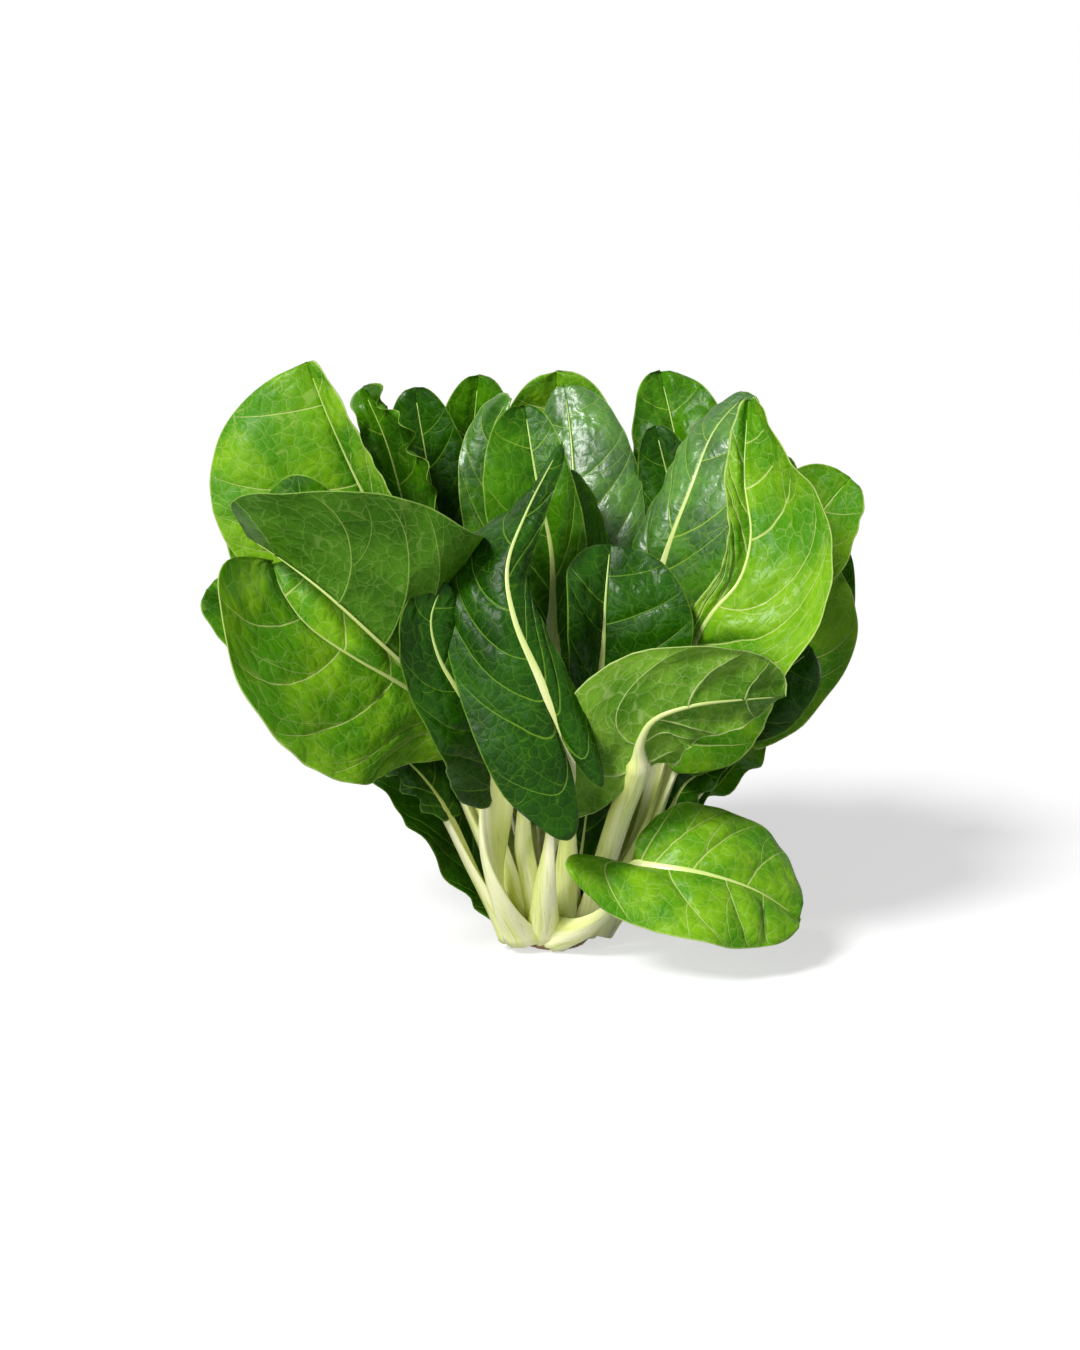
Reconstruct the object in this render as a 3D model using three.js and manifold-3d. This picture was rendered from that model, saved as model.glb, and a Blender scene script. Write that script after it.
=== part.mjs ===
// A whole head of Swiss chard standing on the cut face of its crown, in millimetres.
// +X is to the right of the head's front, +Y to its back and +Z up. Every leaf is one solid that
// grew in one piece: a ribbed stalk that rises from the crown and runs on as the midrib of its blade.
import * as THREE from "three";
import { mergeVertices } from "three/addons/utils/BufferGeometryUtils.js";
import Module from "manifold-3d";

const wasm = await Module();
wasm.setup();

const SHEET = 1.3; // thickness of a blade between its veins
const RIM = 0.6; // the same at a blade's edge
const GAP = 0.35; // clear space kept between two neighbours that press together
const FINEST = 0.02; // the smallest step that is kept where two neighbours cross
const HEART = 0.07; // how far along its outline a heart-shaped blade usually starts
const BACK = 0.25; // where on a blade the midrib usually points the way its lobes hang back
const STALK_DEPTH = 0.95; // how far a stalk stands out below its sheet, as a share of its half-width
const MIDRIB_DEPTH = 0.75; // the same for the midrib of a blade
const RIB_RISE = 0.12; // how far either one swells above the sheet
const MIDRIB_TAPER = 1.4; // how quickly a midrib thins towards the tip
const MIDRIB_TIP = 1; // half-width of a midrib at the tip
const LOBE_FULLNESS = 1.6; // how steeply a lobe's lower edge falls away from the stalk
const LOBE_ROUNDING = 0.95; // how much of that it takes back by the blade's edge
const EDGE_SHIFT = 0.37; // turns between the waves of a leaf's two edges
const STALK_ROWS = 3; // cross-sections along a stalk
const STALK_END = 0.97; // where the last of them lies, as a share of the stalk
const BLADE_ROWS = 6; // cross-sections along a blade
const PLACES = [-3, -2, -1, 0, 1, 2, 3]; // places across a section, edge to edge
const ACROSS = [0, 0.3, 0.6, 1]; // how far out each of them lies
const BESIDE_RIB = [2, 4]; // which of them, counted from the left, lie at the edges of the midrib
const SAMPLES = 160; // steps that a leaf's frame is carried along
const FOOT_STEP = 12; // the step where a leaf's foot has left the crown
const CROWN_FACE = 26; // radius of the cut face the head stands on
const CROWN_RIM = 31; // radius where the outer stalks leave the crown
const CROWN_RIM_HEIGHT = 5; // height of that widest ring
const CROWN_TOP = 18; // height of the crown's middle
const CROWN_SIDES = 24; // facets around the crown
const CROWN_OFFSET = -6; // how far the crown sits left of the middle of its leaves

const CROWN_COLOUR = 0xc8b48a;
const GREENS = { light: 0x74a936, mid: 0x3f7d1f, deep: 0x24591a };

// Each leaf runs up its spine from the crown to the tip. `bare` is the share of the spine that is stalk
// and `girth` half the stalk's width at the foot and below the blade. `span` is the blade's left and
// right half-width, seen on the upper face with the tip up, and `widest` how far along the blade each
// half reaches it. `face` is where the upper face looks at the blade's foot, middle and tip. `left` and
// `right` say how each half leaves the midrib at those three places, in degrees: the angle it is lifted
// by, then how much further it turns before its edge. `lobe` is how far each half hangs back past the
// blade's foot, and `wave` the height, count and phase of the waves in its edge. Where they aren't the
// usual ones, `heart` is how broad the lobes start and `back` the place on the blade where the midrib
// points the way they hang back.
const LEAVES = [
  {
    name: "leaf_front_drooping",
    spine: [
      [-5, -19, 12], [12, -42, 25], [28, -60, 47], [40, -70, 64],
      [59, -78, 67], [85, -81, 63], [110, -77, 53], [136, -68, 34],
    ],
    bare: 0.45, girth: [10, 6], span: [47, 42], widest: [0.45, 0.52], tone: "light",
    face: [[0, -0.8, 0.6], [0.1, -0.75, 0.65], [0.2, -0.7, 0.6]],
    left: [[0, 5, 10], [-10, -25, -20]], right: [[10, 5, 0], [-10, -20, -10]],
    lobe: [0, 46], wave: [2, 2, 0], heart: 0.2, back: 0.7,
  },
  {
    name: "leaf_front_cupped",
    spine: [
      [12, -11, 13], [20, -34, 50], [31, -69, 97], [40, -100, 131], [41, -115, 149],
      [48, -124, 163], [68, -126, 171], [96, -118, 173], [122, -102, 172],
    ],
    bare: 0.56, girth: [8, 7], span: [26, 44], widest: [0.4, 0.25], tone: "light",
    face: [[-0.1, 0.95, 0.3], [-0.1, 0.95, 0.3], [0, 0.9, 0.4]],
    left: [[0, 0, 0], [0, 10, 10]], right: [[10, 5, 10], [10, 0, 0]],
    lobe: [4, 54], wave: [3, 2, 0.2], heart: 0.16,
  },
  {
    name: "leaf_right_bright",
    spine: [
      [16, -12, 15], [45, -28, 84], [60, -46, 149], [71, -60, 189], [83, -68, 214],
      [98, -68, 232], [105, -62, 257], [102, -50, 288], [105, -29, 332],
    ],
    bare: 0.42, girth: [7, 5], span: [14, 60], widest: [0.65, 0.3], tone: "light",
    face: [[-0.3, -0.9, 0.4], [-0.1, -0.95, 0.3], [0, -0.95, 0.2]],
    left: [[10, 20, 30], [10, 20, 10]], right: [[-10, 0, 20], [30, 40, 110]],
    lobe: [0, 30], wave: [3, 2, 0.1],
  },
  {
    name: "leaf_right_glossy",
    spine: [[13, 4, 16], [39, 0, 151], [59, -16, 241], [73, -16, 279], [88, -2, 313], [108, 10, 334]],
    bare: 0.6, girth: [7, 5], span: [24, 40], widest: [0.45, 0.45], tone: "mid",
    face: [[-0.2, -0.9, 0.4], [-0.3, -0.9, 0.4], [-0.3, -0.8, 0.5]],
    left: [[0, -20, -20], [-20, -20, -10]], right: [[10, 10, 10], [10, 10, 10]],
    lobe: [12, 30], wave: [1, 2, 0],
  },
  {
    name: "leaf_centre_round",
    spine: [
      [-3, -16, 15], [3, -40, 66], [11, -56, 120],
      [20, -70, 184], [22, -72, 222], [25, -60, 252],
    ],
    bare: 0.62, girth: [8, 7], span: [30, 50], widest: [0.55, 0.55], tone: "deep",
    face: [[0.1, -0.95, 0.2], [0, -1, 0.1], [0, -0.95, 0.3]],
    left: [[50, 50, 10], [0, 0, 0]], right: [[0, 0, 0], [10, 10, 10]],
    lobe: [6, 10], wave: [1, 2, 0],
  },
  {
    name: "leaf_front_twisted",
    spine: [
      [-13, -20, 14], [-10, -58, 50], [-3, -96, 100], [-3, -118, 145], [-14, -127, 183],
      [-29, -124, 219], [-33, -114, 246], [-22, -100, 276], [-3, -82, 311],
    ],
    bare: 0.5, girth: [9, 7], span: [44, 16], widest: [0.3, 0.3], tone: "deep",
    face: [[0, -0.95, 0.2], [0.1, -0.95, 0.2], [0.1, -0.9, 0.2]],
    left: [[0, -30, -100], [10, 0, 0]], right: [[-20, -20, 0], [-30, -20, 0]],
    lobe: [58, 36], wave: [2, 2, 0.3], heart: 0.16,
  },
  {
    name: "leaf_front_dark",
    spine: [
      [-25, -20, 14], [-34, -42, 40], [-40, -64, 78], [-40, -84, 120], [-47, -100, 154],
      [-60, -112, 176], [-71, -118, 197], [-75, -118, 218], [-68, -112, 238],
    ],
    bare: 0.5, girth: [11, 10], span: [30, 26], widest: [0.35, 0.5], tone: "deep",
    face: [[0, -0.95, 0.3], [0.2, -0.95, 0.2], [0.3, -0.9, 0.2]],
    left: [[30, 10, 0], [10, 20, 20]], right: [[-20, -20, -10], [0, 0, 0]],
    lobe: [20, 0], wave: [2, 2, 0.6], heart: 0.1,
  },
  {
    name: "leaf_left_folded",
    spine: [
      [-22, -14, 18], [-49, -46, 103], [-67, -78, 154], [-84, -102, 183],
      [-108, -122, 211], [-134, -128, 236], [-158, -120, 253], [-177, -102, 262],
    ],
    bare: 0.52, girth: [7, 6], span: [84, 46], widest: [0.32, 0.84], tone: "mid",
    face: [[0.2, 0.2, 0.9], [0.3, 0.1, 0.9], [0.3, 0, 0.9]],
    left: [[112, 62, 25], [10, 20, 20]], right: [[10, 20, 80], [0, 10, 20]],
    lobe: [6, 0], wave: [2, 2, 0], heart: 0.08,
  },
  {
    name: "leaf_left_bowl",
    spine: [
      [-27, -12, 17], [-56, -38, 98], [-73, -62, 149], [-88, -78, 170],
      [-119, -98, 193], [-144, -104, 212], [-158, -100, 230], [-165, -90, 245],
    ],
    bare: 0.42, girth: [7, 6], span: [74, 46], widest: [0.62, 0.45], tone: "light",
    face: [[0.4, -0.7, 0.5], [0.4, -0.85, 0.4], [0.4, -0.8, 0.4]],
    left: [[-10, 0, 20], [10, 10, 20]], right: [[10, 10, 10], [20, 20, 20]],
    lobe: [0, 4], wave: [3, 2, 0.3],
  },
  {
    name: "leaf_left_low",
    spine: [[-32, -16, 10], [-52, -36, 54], [-75, -50, 103], [-92, -54, 124], [-116, -48, 136]],
    bare: 0.6, girth: [7, 5], span: [13, 28], widest: [0.45, 0.45], tone: "deep",
    face: [[0.4, -0.3, 0.8], [0.2, -0.5, 0.8], [0, -0.5, 0.8]],
    left: [[-10, -20, -20], [-20, -20, -20]], right: [[10, 10, 10], [0, 0, 0]],
    lobe: [4, 10], wave: [4, 4, 0],
  },
  {
    name: "leaf_left_outer",
    spine: [[-30, -8, 10], [-54, -16, 49], [-79, -24, 94], [-102, -22, 117], [-124, -8, 142]],
    bare: 0.06, girth: [7, 6], span: [29, 36], widest: [0.55, 0.6], tone: "deep",
    face: [[0.6, -0.5, 0.4], [0.5, -0.5, 0.6], [0.3, -0.4, 0.8]],
    left: [[0, 0, 0], [10, 10, 0]], right: [[30, 20, 10], [0, 0, 0]],
    lobe: [0, 0], wave: [3, 4, 0.4],
  },
  {
    name: "leaf_left_tall",
    spine: [
      [-22, 12, 20], [-76, 30, 145], [-100, 22, 220], [-112, 14, 255],
      [-128, 8, 291], [-142, 6, 324], [-153, 12, 352],
    ],
    bare: 0.52, girth: [6, 6], span: [86, 26], widest: [0.6, 0.42], tone: "light",
    face: [[0.1, -0.85, 0.5], [0.1, -0.95, 0.3], [0.1, -0.95, 0.2]],
    left: [[0, 0, 0], [0, -15, -20]], right: [[60, 65, 60], [0, 0, 0]],
    lobe: [0, 0], wave: [2, 2, 0.1],
  },
  {
    name: "leaf_left_upper",
    spine: [[-26, 14, 17], [-102, 48, 150], [-150, 52, 206], [-180, 50, 236], [-203, 46, 258]],
    bare: 0.5, girth: [6, 5], span: [44, 36], widest: [0.5, 0.5], tone: "mid",
    face: [[0.4, -0.6, 0.7], [0.4, -0.6, 0.7], [0.3, -0.6, 0.7]],
    left: [[0, 0, 0], [0, 0, 0]], right: [[10, 10, 10], [10, 10, 10]],
    lobe: [6, 6], wave: [3, 2, 0],
  },
  {
    name: "leaf_left_side",
    spine: [[-29, 2, 14], [-100, 0, 114], [-145, -20, 167], [-181, -30, 205], [-210, -30, 222]],
    bare: 0.5, girth: [6, 5], span: [44, 44], widest: [0.5, 0.5], tone: "mid",
    face: [[0.4, -0.4, 0.8], [0.4, -0.5, 0.7], [0.3, -0.6, 0.7]],
    left: [[0, 0, 0], [0, 0, 0]], right: [[10, 10, 10], [10, 10, 10]],
    lobe: [10, 10], wave: [3, 2, 0.5],
  },
  {
    name: "leaf_left_crinkled",
    spine: [
      [-21, 20, 23], [-60, 60, 120], [-86, 66, 204],
      [-100, 60, 266], [-110, 60, 302], [-124, 64, 334],
    ],
    bare: 0.58, girth: [6, 4], span: [20, 40], widest: [0.5, 0.5], tone: "mid",
    face: [[0.2, -0.9, 0.3], [0.3, -0.9, 0.2], [0.3, -0.9, 0.2]],
    left: [[0, 0, 0], [0, 0, 0]], right: [[20, 30, 40], [60, 90, 90]],
    lobe: [6, 10], wave: [9, 5, 0],
  },
  {
    name: "leaf_back_left_dark",
    spine: [[-14, 24, 25], [-40, 66, 110], [-69, 88, 199], [-84, 94, 274], [-94, 98, 332]],
    bare: 0.5, girth: [6, 4], span: [30, 30], widest: [0.5, 0.5], tone: "deep",
    face: [[0.1, -1, 0.2], [0.1, -1, 0.1], [0, -1, 0.1]],
    left: [[10, 10, 10], [0, 0, 0]], right: [[10, 10, 10], [0, 0, 0]],
    lobe: [6, 6], wave: [2, 2, 0],
  },
  {
    name: "leaf_back_left_tall",
    spine: [[-8, 26, 25], [-20, 72, 110], [-44, 112, 195], [-57, 118, 291], [-54, 112, 339]],
    bare: 0.5, girth: [6, 4], span: [26, 32], widest: [0.6, 0.6], tone: "mid",
    face: [[0.1, -1, 0.2], [0.1, -1, 0.1], [0, -1, 0.1]],
    left: [[10, 10, 10], [0, 0, 0]], right: [[10, 10, 10], [0, 0, 0]],
    lobe: [6, 6], wave: [2, 2, 0.4],
  },
  {
    name: "leaf_centre_left_glossy",
    spine: [[-12, 14, 23], [-40, 56, 203], [-47, 60, 271], [-44, 56, 308], [-33, 42, 329]],
    bare: 0.6, girth: [6, 4], span: [18, 24], widest: [0.6, 0.6], tone: "mid",
    face: [[0.1, -1, 0.2], [0.1, -1, 0.2], [-0.2, -0.6, 0.8]],
    left: [[10, 10, 10], [0, 0, 0]], right: [[10, 10, 10], [0, 0, 0]],
    lobe: [6, 6], wave: [1, 2, 0.4],
  },
  {
    name: "leaf_centre_light",
    spine: [
      [-17, -12, 17], [-21, -32, 76], [-12, -34, 153],
      [-8, -38, 240], [-17, -40, 287], [-24, -26, 329],
    ],
    bare: 0.55, girth: [10, 7], span: [33, 21], widest: [0.6, 0.6], tone: "mid",
    face: [[0, -1, 0.1], [0, -1, 0.1], [0, -0.95, 0.2]],
    left: [[10, 10, 10], [10, 10, 10]], right: [[0, 0, 0], [10, 10, 10]],
    lobe: [6, 6], wave: [2, 2, 0.2],
  },
  {
    name: "leaf_centre_big",
    spine: [
      [-3, 10, 21], [8, 16, 150], [6, 22, 215],
      [6, 32, 262], [4, 47, 302], [0, 66, 335],
    ],
    bare: 0.5, girth: [6, 5], span: [32, 42], widest: [0.5, 0.5], tone: "mid",
    face: [[0, -1, 0.1], [-0.3, -0.9, 0.3], [-0.3, -0.9, 0.4]],
    left: [[-10, -10, -10], [-20, -20, -20]], right: [[-10, -10, -10], [-20, -20, -20]],
    lobe: [6, 6], wave: [2, 2, 0.2],
  },
  {
    name: "leaf_centre_narrow",
    spine: [[-4, -2, 18], [15, 0, 151], [16, -4, 206], [7, -8, 248], [-1, -10, 290]],
    bare: 0.5, girth: [6, 4], span: [22, 24], widest: [0.5, 0.5], tone: "mid",
    face: [[0, -1, 0.1], [0.1, -1, 0.2], [0.2, -1, 0.2]],
    left: [[0, 0, 0], [0, 0, 0]], right: [[-10, -20, -10], [-20, -20, -10]],
    lobe: [6, 6], wave: [2, 2, 0.2],
  },
  {
    name: "leaf_back_centre",
    spine: [[2, 24, 25], [5, 66, 104], [2, 104, 196], [-2, 112, 285], [-5, 98, 342]],
    bare: 0.5, girth: [6, 4], span: [44, 44], widest: [0.6, 0.6], tone: "light",
    face: [[0, -1, 0.2], [0, -1, 0.1], [0, -0.9, 0.3]],
    left: [[10, 10, 10], [0, 0, 0]], right: [[10, 10, 10], [0, 0, 0]],
    lobe: [6, 6], wave: [3, 3, 0.4],
  },
  {
    name: "leaf_back_right_crinkled",
    spine: [[7, 16, 22], [73, 70, 201], [75, 74, 270], [67, 84, 312], [60, 96, 342]],
    bare: 0.5, girth: [6, 4], span: [30, 36], widest: [0.6, 0.6], tone: "mid",
    face: [[0, -1, 0.2], [0, -1, 0.2], [0, -0.8, 0.5]],
    left: [[10, 10, 10], [0, 0, 0]], right: [[10, 10, 10], [0, 0, 0]],
    lobe: [6, 6], wave: [4, 3, 0.4],
  },
  {
    name: "leaf_right_inner",
    spine: [[10, 10, 21], [71, 36, 181], [69, 40, 249], [55, 46, 312]],
    bare: 0.5, girth: [6, 4], span: [24, 24], widest: [0.5, 0.5], tone: "deep",
    face: [[-0.1, -1, 0.2], [0, -1, 0.2], [0, -1, 0.2]],
    left: [[10, 10, 10], [0, 0, 0]], right: [[10, 10, 10], [0, 0, 0]],
    lobe: [6, 6], wave: [2, 3, 0.4],
  },
  {
    name: "leaf_right_shaded",
    spine: [[8, -8, 13], [46, -16, 119], [76, -8, 191], [98, 4, 245]],
    bare: 0.5, girth: [6, 4], span: [30, 30], widest: [0.5, 0.5], tone: "deep",
    face: [[-0.3, -0.9, 0.3], [-0.3, -0.9, 0.3], [-0.2, -0.9, 0.4]],
    left: [[10, 10, 10], [0, 0, 0]], right: [[10, 10, 10], [0, 0, 0]],
    lobe: [6, 6], wave: [2, 2, 0.4],
  },
  {
    name: "leaf_right_high",
    spine: [[14, 10, 20], [52, 24, 86], [98, 36, 158], [138, 48, 221], [158, 54, 257], [176, 58, 279]],
    bare: 0.64, girth: [6, 5], span: [36, 34], widest: [0.6, 0.6], tone: "light",
    face: [[-0.3, -0.8, 0.5], [-0.3, -0.85, 0.4], [-0.2, -0.9, 0.4]],
    left: [[10, 10, 10], [0, 10, 0]], right: [[10, 10, 10], [10, 20, 30]],
    lobe: [0, 0], wave: [3, 2, 0.4],
  },
  {
    name: "leaf_right_side",
    spine: [[18, 0, 14], [54, 4, 60], [92, 8, 112], [125, 16, 160], [147, 26, 195], [150, 40, 235]],
    bare: 0.55, girth: [6, 5], span: [40, 34], widest: [0.5, 0.5], tone: "light",
    face: [[-0.3, -0.6, 0.7], [-0.3, -0.85, 0.4], [-0.2, -0.9, 0.3]],
    left: [[0, 0, 0], [0, 0, 0]], right: [[-10, -20, -20], [-10, -10, -10]],
    lobe: [6, 6], wave: [3, 2, 0.1],
  },
  {
    name: "leaf_right_far",
    spine: [[16, 22, 16], [56, 50, 62], [101, 76, 118], [150, 92, 186], [172, 98, 236]],
    bare: 0.5, girth: [6, 5], span: [34, 34], widest: [0.5, 0.5], tone: "mid",
    face: [[-0.3, -0.6, 0.7], [-0.3, -0.7, 0.6], [-0.2, -0.7, 0.6]],
    left: [[0, 0, 0], [0, 0, 0]], right: [[0, 0, 0], [-10, -20, -20]],
    lobe: [6, 6], wave: [3, 2, 0.1],
  },
  {
    name: "leaf_right_low",
    spine: [
      [20, -10, 12], [46, -26, 70], [66, -34, 124],
      [86, -42, 152], [115, -46, 168], [144, -40, 188],
    ],
    bare: 0.54, girth: [7, 5], span: [34, 32], widest: [0.5, 0.5], tone: "deep",
    face: [[-0.3, -0.8, 0.6], [-0.1, -0.8, 0.6], [0, -0.9, 0.4]],
    left: [[-20, -20, -20], [0, 0, 0]], right: [[0, 0, 0], [0, 0, 0]],
    lobe: [0, 4], wave: [3, 3, 0.4],
  },
  {
    name: "leaf_right_lowest",
    spine: [[23, -4, 9], [46, -14, 44], [62, -24, 86], [72, -28, 106], [96, -30, 120]],
    bare: 0.62, girth: [6, 5], span: [20, 13], widest: [0.5, 0.5], tone: "deep",
    face: [[-0.3, -0.7, 0.7], [-0.1, -0.7, 0.7], [0, -0.7, 0.7]],
    left: [[10, 10, 10], [0, 0, 0]], right: [[0, 0, 0], [0, 0, 0]],
    lobe: [4, 4], wave: [3, 3, 0.2],
  },
  {
    name: "leaf_right_outer",
    spine: [[22, 12, 12], [52, 22, 52], [80, 34, 90], [104, 46, 140], [114, 60, 188]],
    bare: 0.3, girth: [8, 5], span: [30, 30], widest: [0.6, 0.6], tone: "mid",
    face: [[-0.8, -0.3, 0.4], [-0.7, -0.5, 0.4], [-0.5, -0.6, 0.5]],
    left: [[0, 0, 0], [0, 0, 0]], right: [[0, 0, 0], [0, 0, 0]],
    lobe: [0, 0], wave: [3, 2, 0.2],
  },
  {
    name: "leaf_right_peeping",
    spine: [[14, 16, 20], [56, 38, 100], [92, 56, 178], [124, 68, 253], [135, 66, 293]],
    bare: 0.55, girth: [6, 4], span: [26, 24], widest: [0.5, 0.5], tone: "mid",
    face: [[-0.2, -0.9, 0.3], [-0.2, -0.9, 0.3], [-0.1, -0.9, 0.3]],
    left: [[0, 0, 0], [0, 0, 0]], right: [[0, 0, 0], [0, 0, 0]],
    lobe: [4, 4], wave: [2, 2, 0.2],
  },
  {
    name: "leaf_rear_left",
    spine: [[-24, 22, 16], [-62, 62, 88], [-104, 96, 158], [-126, 112, 214], [-132, 116, 252]],
    bare: 0.5, girth: [7, 5], span: [42, 40], widest: [0.5, 0.5], tone: "mid",
    face: [[0.4, -0.5, 0.7], [0.4, -0.7, 0.5], [0.4, -0.7, 0.4]],
    left: [[10, 10, 10], [10, 10, 10]], right: [[10, 10, 10], [10, 10, 10]],
    lobe: [10, 10], wave: [3, 3, 0],
  },
  {
    name: "leaf_rear_centre_left",
    spine: [[-16, 28, 16], [-34, 84, 96], [-48, 128, 176], [-52, 142, 238], [-46, 140, 276]],
    bare: 0.5, girth: [7, 5], span: [44, 42], widest: [0.5, 0.5], tone: "deep",
    face: [[0.2, -0.7, 0.6], [0.2, -0.9, 0.4], [0.1, -0.9, 0.3]],
    left: [[10, 10, 10], [10, 10, 10]], right: [[10, 10, 10], [10, 10, 10]],
    lobe: [10, 10], wave: [3, 3, 0.3],
  },
  {
    name: "leaf_rear_centre",
    spine: [[2, 30, 16], [8, 88, 90], [14, 136, 160], [18, 156, 216], [18, 158, 254]],
    bare: 0.5, girth: [7, 5], span: [42, 44], widest: [0.5, 0.5], tone: "mid",
    face: [[0, -0.7, 0.7], [0, -0.9, 0.4], [0, -0.9, 0.3]],
    left: [[10, 10, 10], [10, 10, 10]], right: [[10, 10, 10], [10, 10, 10]],
    lobe: [10, 10], wave: [3, 3, 0.6],
  },
  {
    name: "leaf_rear_right",
    spine: [[10, 30, 14], [44, 82, 94], [82, 120, 166], [98, 136, 222], [102, 136, 262]],
    bare: 0.5, girth: [7, 5], span: [42, 40], widest: [0.5, 0.5], tone: "deep",
    face: [[-0.3, -0.6, 0.6], [-0.3, -0.8, 0.4], [-0.2, -0.8, 0.3]],
    left: [[10, 10, 10], [10, 10, 10]], right: [[10, 10, 10], [10, 10, 10]],
    lobe: [10, 10], wave: [3, 3, 0.8],
  },
  {
    name: "leaf_rear_low_left",
    spine: [[-8, 32, 11], [-28, 72, 52], [-52, 112, 84], [-76, 140, 100], [-92, 154, 98]],
    bare: 0.45, girth: [7, 5], span: [40, 40], widest: [0.5, 0.5], tone: "mid",
    face: [[0.2, -0.4, 0.9], [0.1, -0.2, 1], [-0.2, 0.3, 0.9]],
    left: [[10, 0, -10], [0, -20, -20]], right: [[10, 0, -10], [0, -20, -20]],
    lobe: [10, 10], wave: [4, 3, 0.2],
  },
  {
    name: "leaf_rear_low_right",
    spine: [[18, 24, 10], [46, 56, 52], [78, 88, 90], [108, 112, 110], [130, 128, 110]],
    bare: 0.45, girth: [7, 5], span: [40, 40], widest: [0.5, 0.5], tone: "light",
    face: [[-0.2, -0.4, 0.9], [-0.1, -0.2, 1], [0.3, 0.3, 0.9]],
    left: [[10, 0, -10], [0, -20, -20]], right: [[10, 0, -10], [0, -20, -20]],
    lobe: [10, 10], wave: [4, 3, 0.5],
  },
  {
    name: "leaf_heart_left",
    spine: [[-8, 6, 20], [-14, 14, 80], [-22, 24, 136], [-20, 34, 184]],
    bare: 0.35, girth: [6, 4], span: [30, 30], widest: [0.5, 0.5], tone: "light",
    face: [[0.6, -0.8, 0.1], [0.6, -0.8, 0.2], [0.5, -0.8, 0.3]],
    left: [[20, 20, 10], [10, 10, 10]], right: [[20, 20, 10], [10, 10, 10]],
    lobe: [6, 6], wave: [3, 3, 0.1],
  },
  {
    name: "leaf_heart_right",
    spine: [[4, 8, 20], [20, 20, 80], [32, 28, 128], [36, 34, 172]],
    bare: 0.35, girth: [6, 4], span: [26, 24], widest: [0.5, 0.5], tone: "light",
    face: [[-0.7, -0.7, 0.2], [-0.7, -0.7, 0.3], [-0.6, -0.7, 0.4]],
    left: [[20, 20, 10], [10, 10, 10]], right: [[20, 20, 10], [10, 10, 10]],
    lobe: [6, 6], wave: [3, 3, 0.5],
  },
  {
    name: "leaf_heart_rear",
    spine: [[0, 14, 20], [2, 40, 80], [4, 62, 130], [2, 76, 176]],
    bare: 0.35, girth: [6, 4], span: [34, 34], widest: [0.5, 0.5], tone: "light",
    face: [[0, -0.9, 0.3], [0, -0.9, 0.4], [0, -0.8, 0.5]],
    left: [[20, 20, 10], [10, 10, 10]], right: [[20, 20, 10], [10, 10, 10]],
    lobe: [6, 6], wave: [3, 3, 0.8],
  },
  {
    name: "leaf_heart_front",
    spine: [[4, -5, 20], [10, -11, 60], [14, -12, 94], [17, -6, 126]],
    bare: 0.12, girth: [5, 4], span: [22, 22], widest: [0.5, 0.5], tone: "deep",
    face: [[-0.1, -0.9, 0.1], [0, -0.9, 0.1], [0, -0.9, 0.3]],
    left: [[20, 20, 10], [10, 10, 10]], right: [[20, 20, 10], [10, 10, 10]],
    lobe: [2, 2], wave: [3, 3, 0.3],
  },
  {
    name: "leaf_inner_left",
    spine: [[-18, 6, 20], [-46, 12, 96], [-66, 14, 160], [-72, 12, 214]],
    bare: 0.45, girth: [6, 5], span: [34, 32], widest: [0.5, 0.5], tone: "mid",
    face: [[0.5, -0.7, 0.4], [0.6, -0.7, 0.3], [0.6, -0.7, 0.2]],
    left: [[10, 10, 10], [10, 10, 10]], right: [[10, 10, 10], [10, 10, 10]],
    lobe: [6, 6], wave: [3, 3, 0.2],
  },
  {
    name: "leaf_inner_right",
    spine: [[9, 20, 20], [38, 58, 80], [62, 84, 134], [72, 98, 180]],
    bare: 0.4, girth: [6, 5], span: [30, 30], widest: [0.5, 0.5], tone: "mid",
    face: [[-0.5, -0.6, 0.6], [-0.5, -0.7, 0.4], [-0.5, -0.7, 0.3]],
    left: [[10, 10, 10], [10, 10, 10]], right: [[10, 10, 10], [10, 10, 10]],
    lobe: [6, 6], wave: [3, 3, 0.6],
  },
  {
    name: "leaf_inner_rear",
    spine: [[-4, 26, 18], [-4, 66, 76], [-6, 96, 128], [-8, 110, 170]],
    bare: 0.4, girth: [6, 5], span: [26, 26], widest: [0.5, 0.5], tone: "light",
    face: [[0.1, -0.8, 0.5], [0.1, -0.9, 0.3], [0.1, -0.9, 0.3]],
    left: [[10, 10, 10], [10, 10, 10]], right: [[10, 10, 10], [10, 10, 10]],
    lobe: [6, 6], wave: [3, 3, 0.9],
  },
];

const radians = THREE.MathUtils.degToRad;
const mix = THREE.MathUtils.lerp;
const smooth = (t) => t * t * (3 - 2 * t);

// A value given at the foot, middle and tip of a blade, eased between them.
const along = ([foot, middle, tip], t) =>
  t < 0.5 ? mix(foot, middle, smooth(2 * t)) : mix(middle, tip, smooth(2 * t - 1));

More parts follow.
